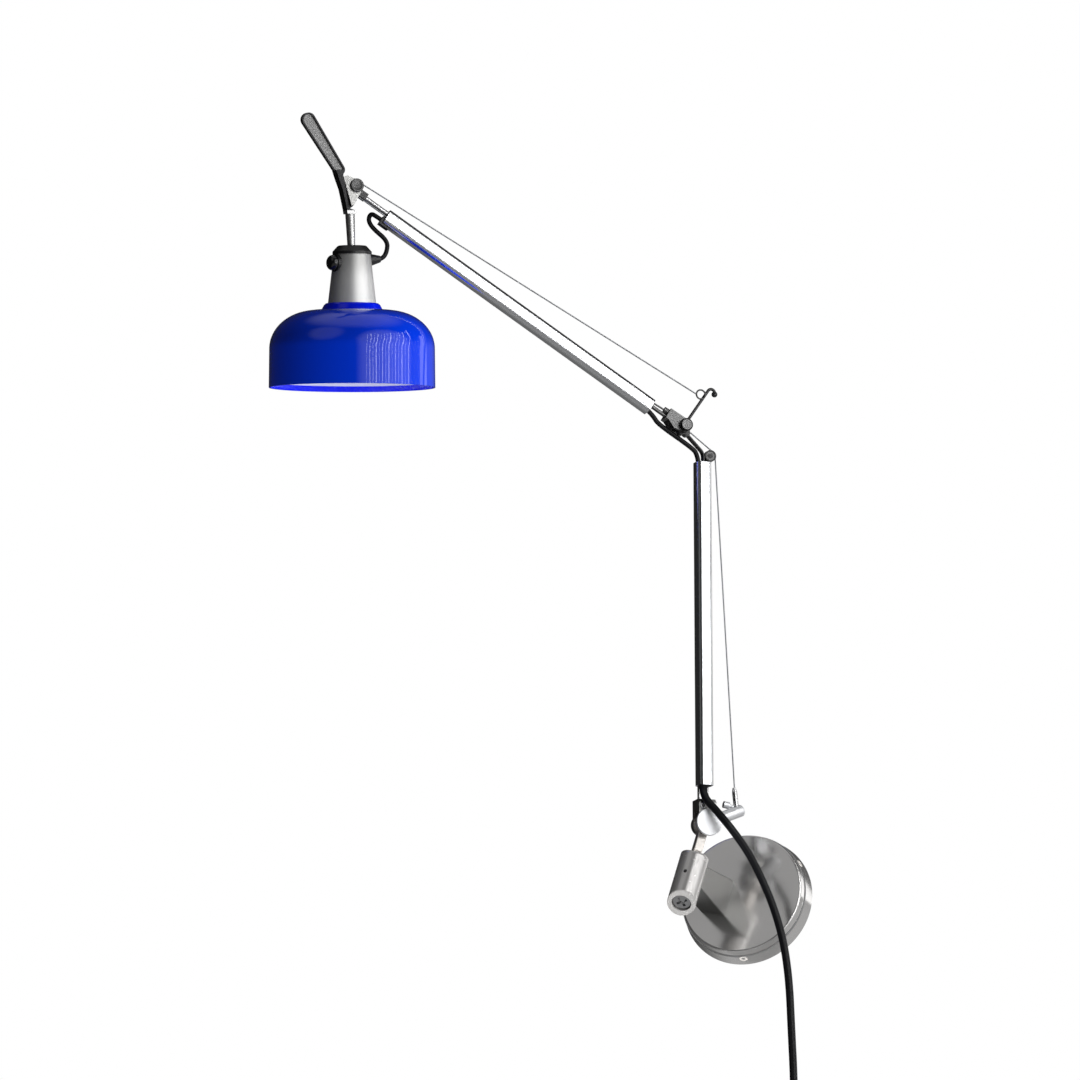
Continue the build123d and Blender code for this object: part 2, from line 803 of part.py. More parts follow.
def pulley(r, groove_r, width, bore):
    """Grooved wheel about Z, centred on z = 0."""
    half = width / 2
    flank = (r - groove_r) * 0.75
    points = [
        (bore, -half),
        (r, -half),
        (r, -half + 0.5),
        (groove_r, -half + 0.5 + flank),
        (groove_r, half - 0.5 - flank),
        (r, half - 0.5),
        (r, half),
        (bore, half),
    ]
    profile = Plane.XZ * outline(*points)
    return revolve(profile, Axis.Z)


def make_lower_pulley():
    wheel = pulley(pulley_r, pulley_groove_r, pulley_t, pulley_pin_r + slip)
    rim = post_z(pulley_r - 1.2, pulley_t / 2 - 0.5, pulley_t / 2 + 1)
    wheel -= rim - post_z(pulley_pin_r + 1.2, 0, pulley_t)
    return put(lower, Pos(pulley_at[0], pulley_at[1], 0) * wheel)


def pulley_tongue_y():
    return elbow_rod_y - elbow_rod_r - 2.0


def pulley_tongue(grow):
    """Tongue of the pulley's arm, which goes into the tube's plug."""
    end = tube_end
    z = -pulley_t / 2 - side_play - pulley_arm_t / 2
    size = (11.4 + grow, 3.2 + 2 * grow, pulley_arm_t + 2 * grow)
    return Pos(end - 2.3, pulley_tongue_y(), z) * Box(*size)


def make_pulley_arm():
    end = tube_end
    z1 = -pulley_t / 2 - side_play
    z0 = z1 - pulley_arm_t
    plate = hull_of(spot(2.8, pulley_at), spot(1.6, (end + 2.4, pulley_tongue_y())))
    arm = flat(plate, z0, z1)
    arm += pulley_tongue(0)
    at = pulley_at
    arm += post_z(pulley_pin_r, z0, pulley_t / 2 + side_play, at)
    arm += post_z(pulley_pin_r + 0.6, pulley_t / 2 + side_play, pulley_t / 2 + side_play + 0.7, at)
    return arm


def make_lower_pulley_arm():
    return put(lower, make_pulley_arm())


def tangent_point(centre, r, far, side):
    """Where a line from the point far touches a circle, on the given side."""
    d = Vector(far[0] - centre[0], far[1] - centre[1])
    base = atan2(d.Y, d.X)
    swing_angle = acos(r / d.length) * side
    return (centre[0] + r * cos(base + swing_angle), centre[1] + r * sin(base + swing_angle))


def cable_over(first, centre, r, last, side, z=0.0):
    """Thin cable from a point, round a pulley and on to another point."""
    a = tangent_point(centre, r, first, side)
    b = tangent_point(centre, r, last, -side)
    run_in = bar_between((first[0], first[1], z), (a[0], a[1], z), cable_r)
    run_out = bar_between((b[0], b[1], z), (last[0], last[1], z), cable_r)
    start = atan2(a[1] - centre[1], a[0] - centre[0])
    end = atan2(b[1] - centre[1], b[0] - centre[0])
    turn = (end - start) * side
    turn = turn % (2 * pi)
    bend = Pos(centre[0], centre[1], z) * Rot(0, 0, degrees(start if side > 0 else end))
    bend = bend * Torus(r, cable_r, major_angle=degrees(turn), align=(Align.NONE,) * 3)
    return run_in + bend + run_out


def ferrule_tip_in_lower():
    foot, way = ferrule_line()
    tip = foot + way * (ferrule_l - 3.0 - 6)
    world = post.from_local_coords(tip)
    return lower.to_local_coords(world)


def make_lower_cable():
    tip = ferrule_tip_in_lower()
    r = pulley_groove_r + cable_r + slip
    cable = cable_over((tip.X, tip.Y), pulley_at, r, lower_cable_end, 1)
    return put(lower, cable)


# ================================================================ upper arm
def thin_rod_line(r, x0=None, x1=None):
    """Round bar on the thin rod's sloping line, between two places along the arm."""
    a = Vector(cheek_block_start, thin_rod_y[0], 0)
    b = Vector(fork_rod_end(), thin_rod_y[1], 0)
    way = (b - a) * (1 / (b - a).X)
    first = a if x0 is None else a + way * (x0 - a.X)
    last = b if x1 is None else a + way * (x1 - a.X)
    return bar_between(tuple(first), tuple(last), r)


def fork_rod_end():
    return tube_start + plug_inset + plug_l - 1


def make_elbow_cheeks():
    inner = elbow_eye_t / 2 + side_play
    outer = inner + cheek_t
    block = outline(
        (cheek_block_start, -5.4),
        (cheek_block_end, -5.4),
        (cheek_block_end, 4.6),
        (cheek_block_start + 1, 4.6),
        (cheek_block_start, 3.6),
    )
    wing = hull_of(spot(cheek_r, (0, 0)), spot(1.6, (7.4, 6.6)), spot(1.6, (15.6, 3.0)), spot(1.6, (15.6, -3.8)))
    body = flat(wing, -outer, outer) + flat(block, -outer, outer)
    slot = Pos(cheek_block_start - 30, 0, 0) * Box(60, 60, 2 * inner)
    body -= slot
    body -= post_z(elbow_pin_r + slip, -20, 20)
    body -= bar_between((cheek_block_start + 1, thick_rod_y, 0), (40, thick_rod_y, 0), thick_rod_r + slip)
    body -= thin_rod_line(thin_rod_r + slip)
    return put(upper, body)


def cheek_outer():
    return elbow_eye_t / 2 + side_play + cheek_t


def make_elbow_axle():
    outer = cheek_outer()
    pin = post_z(elbow_pin_r, -outer - 1.6, outer + 2.5)
    head = post_z(elbow_pin_r + 1.6, -outer - 1.6, -outer)
    return put(upper, pin + fillet(head.edges().group_by(Axis.Z)[0], 0.6))


def make_elbow_knob():
    low = cheek_outer()
    knob = post_z(knob_r, low, low + knob_t)
    knob = fillet(knob.edges().group_by(Axis.Z)[-1], 1.1)
    knob -= post_z(elbow_pin_r + slip, low - 1, low + 2.6)
    dish = Pos(0, 0, low + knob_t + 18.0) * Sphere(18.35)
    return put(upper, knob - dish)


def make_fork_rods():
    end = fork_rod_end()
    rods = bar_between((cheek_block_start + 1.5, thick_rod_y, 0), (end, thick_rod_y, 0), thick_rod_r)
    rods += thin_rod_line(thin_rod_r)
    ring_start = cheek_block_end + side_play
    rods += thin_rod_line(clamp_ring_r, ring_start, ring_start + clamp_ring_l)
    return put(upper, rods)


def make_upper_tube():
    return put(upper, Pos(tube_start, upper_axis_y, 0) * tube(tube_l))


def make_upper_foot_plug():
    x = tube_start + plug_inset
    plug = Pos(x, upper_axis_y, 0) * plug_blank()
    plug -= bar_between((0, thick_rod_y, 0), (x + plug_l - 0.5, thick_rod_y, 0), thick_rod_r + slip)
    plug -= thin_rod_line(thin_rod_r + slip, 20, fork_rod_end() + slip)
    y = upper_lead_y()
    plug -= bar_between((0, y, 0), (200, y, 0), inner_lead_r + slip)
    return put(upper, plug)


def upper_lead_y():
    return upper_axis_y + inner_lead_y


def make_upper_end_plug():
    """Plug of the tube's head end, with the clip that leads the cord under the tube."""
    end = tube_end - plug_inset
    plug = Pos(end - plug_l, upper_axis_y, 0) * plug_blank()
    under = upper_axis_y + tube_w / 2 + 0.1
    inner = upper_axis_y + tube_w / 2 - tube_wall - plug_fit
    lip = outline(
        (end - 7.5, under),
        (end - 6.5, under + 1.6),
        (end + 3.4, under + 1.6),
        (end + 3.4, 3.9),
        (end - 0.5, 3.9),
        (end - 0.5, inner),
        (end + plug_inset + 0.1, inner),
        (end + plug_inset + 0.1, under),
    )
    plug += flat(lip, -3.0, 3.0)
    a = (end - plug_l + 1, head_rod_y, 0)
    plug -= bar_between(a, (400, head_rod_y, 0), head_rod_r + slip)
    y, z = cable_return_y(), head_pulley_mid()
    plug -= bar_between((end - plug_l - 1, y, z), (400, y, z), cable_r + slip)
    y = upper_lead_y()
    plug -= bar_between((0, y, head_lead_z), (500, y, head_lead_z), head_lead_r + slip)
    return put(upper, plug)


def head_pulley_mid():
    return (head_pulley_z[0] + head_pulley_z[1]) / 2


def cable_return_y():
    return head_side + head_pulley_groove_r + cable_r + slip


def make_upper_spring():
    return put(upper, spring(tube_start + 60, upper_axis_y + spring_y, 0))


def make_head_rods():
    start = tube_end - plug_inset - plug_l + 1.5
    rods = bar_between((start, head_rod_y, 0), (head_along - yoke_r - 1, head_rod_y, 0), head_rod_r)
    for k in range(14):
        x = tube_end + 4 + 1.3 * k
        ring = bar_between((x, head_rod_y, 0), (x + 0.55, head_rod_y, 0), head_rod_r + 1)
        rods -= ring - bar_between((x - 1, head_rod_y, 0), (x + 2, head_rod_y, 0), head_rod_r - 0.3)
    return put(upper, rods)


def make_head_yoke():
    low, high = yoke_z
    plate = hull_of(spot(yoke_r, (head_along, head_side)), spot(3.0, (head_along - 10, head_rod_y - 0.6)))
    yoke = flat(plate, low, high)
    neck = Pos(head_along - 10.5, head_rod_y - 0.4, 0) * Box(7, 6.4, 7.0)
    clear = post_z(head_pulley_r + 0.6, high, 10, (head_along, head_side))
    yoke = yoke + (neck - clear)
    yoke -= post_z(head_pin_r + slip, -20, 20, (head_along, head_side))
    yoke -= bar_between((tube_end, head_rod_y, 0), (head_along - yoke_r - 0.8, head_rod_y, 0), head_rod_r + slip)
    cable_y = cable_return_y()
    z = head_pulley_mid()
    yoke -= bar_between((tube_end, cable_y, z), (head_along, cable_y, z), cable_r + 0.4)
    return put(upper, yoke)


def make_head_axle():
    at = (head_along, head_side)
    low = -bracket_half
    pin = post_z(head_pin_r, low - 1.4, bracket_half, at)
    back = post_z(head_pin_r + 1.8, low - 1.4, low, at)
    cap = post_z(cap_r, bracket_half + 0.1, bracket_half + cap_t, at)
    cap = fillet(cap.edges().group_by(Axis.Z)[-1], 0.8)
    dish = Pos(at[0], at[1], bracket_half + cap_t + 16.0) * Sphere(16.7)
    dot = post_z(0.9, bracket_half + 1, bracket_half + cap_t - 0.3, at)
    pin += post_z(head_pin_r, bracket_half, bracket_half + 1.4, at)
    return put(upper, pin + back + (cap - dish) + dot)


def make_head_pulley():
    low, high = head_pulley_z
    wheel = pulley(head_pulley_r, head_pulley_groove_r, high - low, head_pin_r + slip)
    return put(upper, Pos(head_along, head_side, (low + high) / 2) * wheel)


def make_upper_cable():
    """Cable of the upper arm, with the eye that lies over the hook."""
    z = hook_r + cable_r + 0.15
    eye = put(lower, Pos(thimble_at[0], thimble_at[1], z) * Torus(thimble_r, cable_r))
    left = Vector(thimble_at[0], thimble_at[1] + thimble_r, z)
    start = upper.to_local_coords(lower.from_local_coords(left))
    r = head_pulley_groove_r + cable_r + slip
    centre = (head_along, head_side)
    last = (tube_end - 14, cable_return_y())
    cable = cable_over((start.X, start.Y), centre, r, last, 1, head_pulley_mid())
    return put(upper, cable) + eye


# ================================================================ head
def on_roll(r, z0, z1):
    """Round bar on the roll pin's axis, in the clutch frame."""
    way = Vector(-sin(radians(roll_dip)), cos(radians(roll_dip)), 0)
    return bar_between(tuple(way * z0), tuple(way * z1), r)


def roll_point(out, up):
    """Point of the clutch frame: out along the roll pin, up across it."""
    dip = radians(roll_dip)
    return (-sin(dip) * out + cos(dip) * up, cos(dip) * out + sin(dip) * up)


def make_roll_bracket():
    face = bracket_face
    top = roll_point(face, 10.6)
    top_in = roll_point(face - 4.0, 11.0)
    low = roll_point(face, -16.6)
    low_in = roll_point(face - 1.6, -16.4)
    edge = hull_of(spot(cap_r, (0, 0)), spot(0.7, roll_point(face - 3.0, 9.6)), spot(0.7, low_in))
    profile = edge + outline(top, top_in, (0, 3), (0, -3), low_in, low)
    profile = profile + outline(roll_point(0, 6), top_in, top, low, low_in, roll_point(0, -6))
    body = flat(profile, -bracket_half, bracket_half)
    slot = Pos(-30, 0, 0) * Box(60 + 2 * bracket_slot_depth, 80, 2 * bracket_slot)
    dip_slot = Rot(0, 0, -(90 - roll_dip) + 180) * Pos(0, 0, 0) * slot
    body -= dip_slot
    body -= post_z(head_pin_r + slip, -20, 20)
    body -= on_roll(roll_pin_r + slip, 5, 20)
    return put(clutch, body)


def make_roll_pin():
    pin = on_roll(roll_pin_r, slot_inner(), bracket_face + casting_t - 0.6)
    return put(clutch, pin)


def slot_inner():
    return bracket_slot_depth + 0.3


def make_lever_stem():
    near = bracket_face + side_play
    far = near + casting_t
    p = roll_point
    band = outline(
        p(near, 12.4),
        p(near, -17.6),
        (-21.0, 0.4),
        (-24.0, 0.2),
        (-24.0, 8.2),
        (-19.9, 8.9),
        (-11.0, 10.9),
        (-2.0, 13.0),
        (6.9, 16.4),
        (14.9, 19.2),
        (15.5, 12.0),
    )
    body = flat(band, -bracket_half * 0.8, bracket_half * 0.8)
    plate = flat(lever_sketch(0), -lever_t / 2, lever_t / 2)
    plate -= flat(lever_sketch(lever_rim), lever_t / 2 - lever_pocket, lever_t)
    body += plate
    low = Plane(origin=(holder_top, lamp_axis_y + 0.8, 0), x_dir=(0, 0, 1), z_dir=(1, 0, 0))
    high = Plane(origin=(-21.5, 4.2, 0), x_dir=(0, 0, 1), z_dir=(1, 0, 0))
    body += loft([low * Circle(stem_r_low), high * Circle(stem_r_high)])
    body -= on_roll(roll_pin_r + slip, 0, far - 0.6)
    return put_head(body)


def lever_sketch(inset):
    return hull_of(spot(lever_tip_r - inset, lever_tip), spot(lever_root_r - inset, lever_root))


def turned(points):
    """Solid of revolution about the lamp's axis; each point is (radius, height)."""
    profile = outline(*points)
    body = revolve(Plane.XZ * profile, Axis.Z)
    return Pos(0, lamp_axis_y, 0) * Rot(0, 90, 0) * body


def make_holder_cap():
    top = holder_top
    mid = top - cap_bevel_h
    low = mid - cap_skirt_h
    t = 1.4
    points = [
        (0, top),
        (cap_top_r, top),
        (cap_top_r + 0.8, top - 0.5),
        (cap_low_r, mid),
        (cap_low_r, low),
        (neck_r(low) + slip, low),
        (neck_r(mid - slip) + slip, mid - slip),
        (cap_low_r - 3 * t, mid - slip),
        (cap_top_r - t, top - 2.4),
        (0, top - 2.4),
    ]
    return put_head(turned(points))


def neck_r(height):
    """The neck cover's outer radius at a height."""
    top = holder_top - cap_bevel_h - 0.1
    return neck_top_r + (neck_low_r - neck_top_r) * (top - height) / (top - neck_low)


def make_neck_cover():
    top = holder_top - cap_bevel_h - 0.1
    points = [
        (neck_top_r - neck_wall, top),
        (neck_top_r, top),
        (neck_low_r, neck_low),
        (neck_low_r - neck_wall, neck_low),
    ]
    cover = turned(points)
    cover -= switch_line(switch_r + 0.35, 0, 60)
    cover -= gland_line(2.4, 8, 40)
    return put_head(cover)


def make_lamp_holder():
    top = holder_top - 2.45
    low = holder_low
    points = [
        (0, top),
        (8, top),
        (8, top - 22),
        (holder_r, top - 25),
        (holder_r, low - 3.6),
        (socket_r, low - 3.6),
        (socket_r, globe_at + 48),
        (0, globe_at + 48),
    ]
    return put_head(turned(points))


def make_shade_ring():
    top = shade_top + ring_h
    points = [
        (holder_r + 0.3, top),
        (ring_r_top - 1.6, top),
        (ring_r_top, top - 1.4),
        (ring_r_low, shade_top + 1.0),
        (ring_r_low, shade_top),
        (holder_r + 0.3, shade_top),
    ]
    return put_head(turned(points))


def shade_curve(offset):
    """Outer or inner line of the shade, from its top hole to its rim."""
    corner_r = shade_shoulder_r - offset
    corner_h = shade_shoulder_h - offset
    inner = shade_r - 0.4 - shade_shoulder_r
    top = shade_top - offset
    knee = shade_top - shade_shoulder_h
    rim = shade_top - shade_h
    flat_run = Line((holder_r + 0.3, top), (inner, top))
    corner = EllipticalCenterArc((inner, knee), corner_r, corner_h, 0, arc_size=90)
    wall_run = Line((inner + corner_r, knee), (shade_r - offset, rim))
    return flat_run, corner, wall_run


def make_shade():
    outer = shade_curve(0)
    inner = shade_curve(shade_wall)
    ends = [
        Line(outer[0] @ 0, inner[0] @ 0),
        Line(outer[2] @ 1, inner[2] @ 1),
    ]
    edges = [c.edge() for c in (*outer, *inner, *ends)]
    profile = make_face(edges)
    body = revolve(Plane.XZ * profile, Axis.Z)
    return put_head(Pos(0, lamp_axis_y, 0) * Rot(0, 90, 0) * body)


def make_holder_nut():
    top = shade_top - shade_wall - 0.05
    points = [
        (holder_r + slip, top),
        (holder_r + 5.0, top),
        (holder_r + 5.0, top - nut_low),
        (holder_r + slip, top - nut_low),
    ]
    return put_head(turned(points))


def make_lamp():
    """Globe lamp with its screw cap."""
    cap_top = globe_at + 46
    cap_low = cap_top - lamp_cap_l
    start = degrees(asin((lamp_cap_r - 0.6) / globe_r))
    neck_z = globe_at + sqrt(globe_r**2 - (lamp_cap_r - 0.6) ** 2)
    arc = CenterArc((0, globe_at), globe_r, -90, 90 + (90 - start))
    edges = [
        arc.edge(),
        Line((lamp_cap_r - 0.6, neck_z), (lamp_cap_r - 0.6, cap_low)).edge(),
        Line((lamp_cap_r - 0.6, cap_low), (lamp_cap_r, cap_low)).edge(),
        Line((lamp_cap_r, cap_low), (lamp_cap_r, cap_top)).edge(),
        Line((lamp_cap_r, cap_top), (5, cap_top + 1.8)).edge(),
        Line((5, cap_top + 1.8), (0, cap_top + 1.8)).edge(),
        Line((0, cap_top + 1.8), (0, globe_at - globe_r)).edge(),
    ]
    body = revolve(Plane.XZ * make_face(edges), Axis.Z)
    return put_head(Pos(0, lamp_axis_y, 0) * Rot(0, 90, 0) * body)


def switch_line(r, near, far):
    """Round bar on the switch's axis, which points out of the neck to the reach side."""
    turn = radians(switch_turn)
    way = Vector(0, cos(turn), sin(turn))
    root = Vector(switch_drop, lamp_axis_y, 0)
    return bar_between(tuple(root + way * near), tuple(root + way * far), r)


def make_switch_bezel():
    face = neck_r(switch_drop) + 1.4
    ring = switch_line(switch_bezel_r, face - 5.5, face)
    ring -= switch_line(switch_r + 0.25, 0, face + 1)
    neck_solid = turned([(0, 0), (neck_r(0) + 0.03, 0), (neck_r(-120) + 0.03, -120), (0, -120)])
    return put_head(ring - neck_solid)


def make_switch_button():
    face = neck_r(switch_drop)
    button = switch_line(switch_r, face - 3.0, face + switch_stand)
    far_edge = button.edges().sort_by(Axis.Y)[-1]
    return put_head(fillet(far_edge, 4.6))


def gland_line(r, near, far):
    """Round bar on the gland's axis, on the side away from the reach."""
    way = gland_way()
    root = Vector(gland_drop, lamp_axis_y, 0)
    return bar_between(tuple(root + way * near), tuple(root + way * far), r)


def gland_way():
    root = Vector(gland_drop, lamp_axis_y, 0)
    return (Vector(gland_tip[0], gland_tip[1], 0) - root).normalized()


def make_lead_gland():
    root = Vector(gland_drop, lamp_axis_y, 0)
    tip = Vector(gland_tip[0], gland_tip[1], 0)
    length = (tip - root).length
    face = neck_r(gland_drop)
    cone = Pos(0, 0, face - 3.0) * Cone(gland_r + 0.8, head_lead_r + 1.0, length - face + 3.0, align=upright)
    cone = Plane(origin=root, z_dir=gland_way()).location * cone
    neck_solid = turned([(0, 0), (neck_r(0) + 0.03, 0), (neck_r(-120) + 0.03, -120), (0, -120)])
    cone -= neck_solid
    low = holder_top - cap_bevel_h - cap_skirt_h - slip
    cone -= turned([(0, 0), (cap_low_r + slip, 0), (cap_low_r + slip, low), (0, low)])
    spigot = gland_line(2.35, face - neck_wall - 0.5, face + 1.5)
    return put_head(cone + spigot - gland_line(head_lead_r, length - 5, length + 5))


# ================================================================ leads
def world_of(frame, points):
    return [tuple(frame.from_local_coords(Vector(*p))) for p in points]


def head_world(points):
    """Points given in the head's own frame, which has the roll in it."""
    spots = []
    for p in points:
        spots.append(put_head(Pos(*p) * Sphere(0.5)).center())
    return [tuple(s) for s in spots]


def elbow_lead_points():
    near = [(tube_end - 0.8, inner_lead_y, 0), (tube_end + 7.5, 4.6, 0), (tube_end + 13.5, 9.6, -0.4)]
    start = world_of(lower, near)
    end = world_of(upper, [(20.5, 11.6, -0.4), (28.0, 8.0, 0), (tube_start + 0.8, upper_lead_y(), 0)])
    return start + end


def make_elbow_lead():
    return lead(elbow_lead_points(), inner_lead_r)


def head_lead_points():
    """From the gland in a tight loop to the tube's head end."""
    root = Vector(gland_tip[0], gland_tip[1], 0)
    out = gland_way()
    near = [tuple(root - out * 2.5), tuple(root + out * 2.4), (-57.0, -31.4, -0.4), (-47.0, -32.6, -1.6)]
    y, z = upper_lead_y(), head_lead_z
    x = tube_end
    far = [(x + 3.0, 15.5, -8.0), (x + 11.0, 12.5, -6.0), (x + 12.5, y, -3.4), (x + 7.0, y, z)]
    far.append((x - 0.5, y, z))
    return head_world(near) + world_of(upper, far)


def make_head_lead():
    return lead(head_lead_points(), head_lead_r)


def neck_lead_points():
    """From inside the lower tube's foot to the front of the base hinge."""
    y, z = mains_entry
    inside = [(tube_start + 4.5, y, z), (31.0, y, z), (19.8, 3.6, 13.4)]
    free = [(5.6, -116.2, 43.6), (14.6, -112.6, 31.2)]
    return world_of(lower, inside) + free


def mains_lead_points():
    """From the front of the base hinge down to the coil."""
    before, start = neck_lead_points()[-2:]
    way = (Vector(*start) - Vector(*before)).normalized()
    return [
        start,
        tuple(Vector(*start) + way * 7.0),
        (27.0, -92.0, 11.5),
        (33.4, -76.0, -5.5),
        (41.6, -62.0, -31.0),
        (47.8, -51.0, -62.0),
        (50.6, -43.8, -98.0),
        (51.2, -40.4, -142.0),
        (coil_side(), coil_centre[1], -190.0),
        (coil_side(), coil_centre[1] + 0.01, coil_centre[2] + coil_entry()),
    ]


def coil_side():
    """Place of the coil's outermost turn, where the lead runs into it."""
    return coil_centre[0] + coil_r - mains_r


def coil_entry():
    """Height above the coil's centre at which the lead meets the coil."""
    return sqrt(coil_r**2 - (coil_r - 2 * mains_r) ** 2) + side_play


def make_neck_lead():
    return lead(neck_lead_points(), mains_r)


def make_mains_lead():
    return lead(mains_lead_points(), mains_r)


def coil_place(shape):
    return Pos(*coil_centre) * Plane.XZ.location * shape


def make_coil():
    """Outer shape of the coiled lead, parallel to the wall, with the strap that holds it."""
    ring = post_z(coil_r, -coil_t / 2, coil_t / 2) - post_z(coil_r - coil_wall, -coil_t, coil_t)
    ring = fillet(ring.edges().filter_by(GeomType.CIRCLE), coil_t * 0.3)
    middle = coil_r - coil_wall / 2
    strap = Box(coil_wall + 2 * tie_t, tie_w, coil_t + 2 * tie_t)
    return coil_place(ring + Rot(0, 0, 152) * Pos(middle, 0, 0) * strap)


def make_mains_plug():
    """Flat plug with two round pins, held against the front of the coil."""
    half = plug_body_w / 2
    points = [
        (-half, 0),
        (half, 0),
        (half * 0.94, -8.0),
        (8.5, -plug_body_l + 6),
        (6.0, -plug_body_l),
        (-6.0, -plug_body_l),
        (-8.5, -plug_body_l + 6),
        (-half * 0.94, -8.0),
    ]
    body = flat(outline(*points), -plug_body_t / 2, plug_body_t / 2)
    body = fillet(body.edges().filter_by(Axis.Z), 1.6)
    for x in (-plug_pin_pitch / 2, plug_pin_pitch / 2):
        pin = bar_between((x, -2, 0), (x, plug_pin_l, 0), plug_pin_r)
        body += fillet(pin.edges().group_by(Axis.Y)[-1], 0.9)
    tail = bar_between((0, -plug_body_l + 1, 0), (0, -plug_body_l - 11, 0), mains_r + 1.0)
    body += tail
    gap = coil_t / 2 + side_play + plug_body_t / 2
    return coil_place(Pos(*plug_face_at, gap) * Rot(0, 0, 180) * body)


save("canopy", make_canopy())
save("canopy_screws", make_set_screws())
save("wall_plate", make_wall_plate())
save("stiffener_plate", make_stiffener())
save("support_block", make_block())
save("support_screws", make_block_screws())
save("swivel_barrel", make_barrel())
save("barrel_end_screw", make_end_screw())
save("barrel_grub_screw", make_grub_screw())

save("pivot_post", make_pivot_post())
save("cable_bracket", make_cable_bracket())
save("bracket_screw", make_bracket_screw())
save("cable_ferrule", make_ferrule())

save("base_fork", make_base_fork())
save("base_axle", make_base_axle())
save("tilt_disc", make_tilt_disc())
save("fork_screw", make_cross_screw())
save("arm_rods", make_arm_rods())
save("lower_tube", make_lower_tube())
save("lower_foot_plug", make_lower_foot_plug())
save("lower_top_plug", make_lower_top_plug())
save("lower_spring", make_lower_spring())
save("elbow_rods", make_elbow_rods())
save("elbow_eye", make_elbow_eye())
save("cable_hook", make_cable_hook())
save("lower_pulley", make_lower_pulley())
save("pulley_arm", make_lower_pulley_arm())
save("lower_cable", make_lower_cable())

save("elbow_cheeks", make_elbow_cheeks())
save("elbow_axle", make_elbow_axle())
save("elbow_knob", make_elbow_knob())
save("fork_rods", make_fork_rods())
save("upper_tube", make_upper_tube())
save("upper_foot_plug", make_upper_foot_plug())
save("upper_end_plug", make_upper_end_plug())
save("upper_spring", make_upper_spring())
save("head_rods", make_head_rods())
save("head_yoke", make_head_yoke())
save("head_axle", make_head_axle())
save("head_pulley", make_head_pulley())
save("upper_cable", make_upper_cable())

save("roll_bracket", make_roll_bracket())
save("lever_stem", make_lever_stem())
save("holder_cap", make_holder_cap())
save("neck_cover", make_neck_cover())
save("shade", make_shade())
save("roll_pin", make_roll_pin())
save("lamp_holder", make_lamp_holder())
save("shade_ring", make_shade_ring())
save("holder_nut", make_holder_nut())
save("lamp", make_lamp())
save("switch_bezel", make_switch_bezel())
save("switch_button", make_switch_button())
save("lead_gland", make_lead_gland())

save("elbow_lead", make_elbow_lead())
save("head_lead", make_head_lead())
save("neck_lead", make_neck_lead())
save("mains_lead", make_mains_lead())
save("mains_coil", make_coil())
save("mains_plug", make_mains_plug())
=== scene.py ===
import math

import bmesh
import bpy
from mathutils import Matrix, Vector


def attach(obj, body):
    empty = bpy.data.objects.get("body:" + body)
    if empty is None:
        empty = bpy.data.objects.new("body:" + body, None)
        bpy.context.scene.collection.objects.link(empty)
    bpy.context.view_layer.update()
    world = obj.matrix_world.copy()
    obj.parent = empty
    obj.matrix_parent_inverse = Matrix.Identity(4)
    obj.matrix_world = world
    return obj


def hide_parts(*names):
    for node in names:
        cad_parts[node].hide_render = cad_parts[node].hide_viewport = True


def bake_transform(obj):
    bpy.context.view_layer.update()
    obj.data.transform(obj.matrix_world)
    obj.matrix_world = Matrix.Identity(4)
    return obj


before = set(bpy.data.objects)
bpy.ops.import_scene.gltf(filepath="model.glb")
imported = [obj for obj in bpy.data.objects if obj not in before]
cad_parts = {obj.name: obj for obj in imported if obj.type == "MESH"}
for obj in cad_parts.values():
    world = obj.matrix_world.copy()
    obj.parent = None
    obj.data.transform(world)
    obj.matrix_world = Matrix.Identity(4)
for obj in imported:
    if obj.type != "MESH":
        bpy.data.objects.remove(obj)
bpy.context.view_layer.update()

# Articulating wall lamp on a white ground, seen from below and from the right.
# The scene is in metres. Places are written in millimetres here and multiplied by MM.
MM = 0.001


# ---------------------------------------------------------------- frames of the lamp
def direction(x, y, z):
    """Vector of length one."""
    return Vector((x, y, z)).normalized()


def frame_at(origin, along, hinge):
    """Matrix with X along the piece, Z along the hinge and Y towards the reach side."""
    x = along.normalized()
    z = hinge.normalized()
    y = z.cross(x)
    m = Matrix.Identity(4)
    for i, axis in enumerate((x, y, z)):
        m.col[i][:3] = axis
    m.col[3][:3] = origin
    return m


# The post leans to the right of upright, and the arms' plane is swung about it. OUT is into the room,
# HINGE the direction of the arms' hinges, and REACH the way that the arms reach out.
LEAN = math.radians(16.9)
SWING = math.radians(38.5)
OUT = Vector((0, -1, 0))
SIDE = Vector((math.cos(LEAN), 0, -math.sin(LEAN)))
POST = Vector((math.sin(LEAN), 0, math.cos(LEAN)))
HINGE = OUT * math.cos(SWING) + SIDE * math.sin(SWING)
REACH = HINGE.cross(POST)


def leaning(origin, lean):
    """Frame in the arms' plane whose X leans from the post by an angle in degrees."""
    lean = math.radians(lean)
    return frame_at(origin, REACH * math.sin(lean) + POST * math.cos(lean), HINGE)


def at(place, x, y, z=0.0):
    """Place given in millimetres in a frame, in metres of the scene."""
    return place @ (Vector((x, y, z)) * MM)


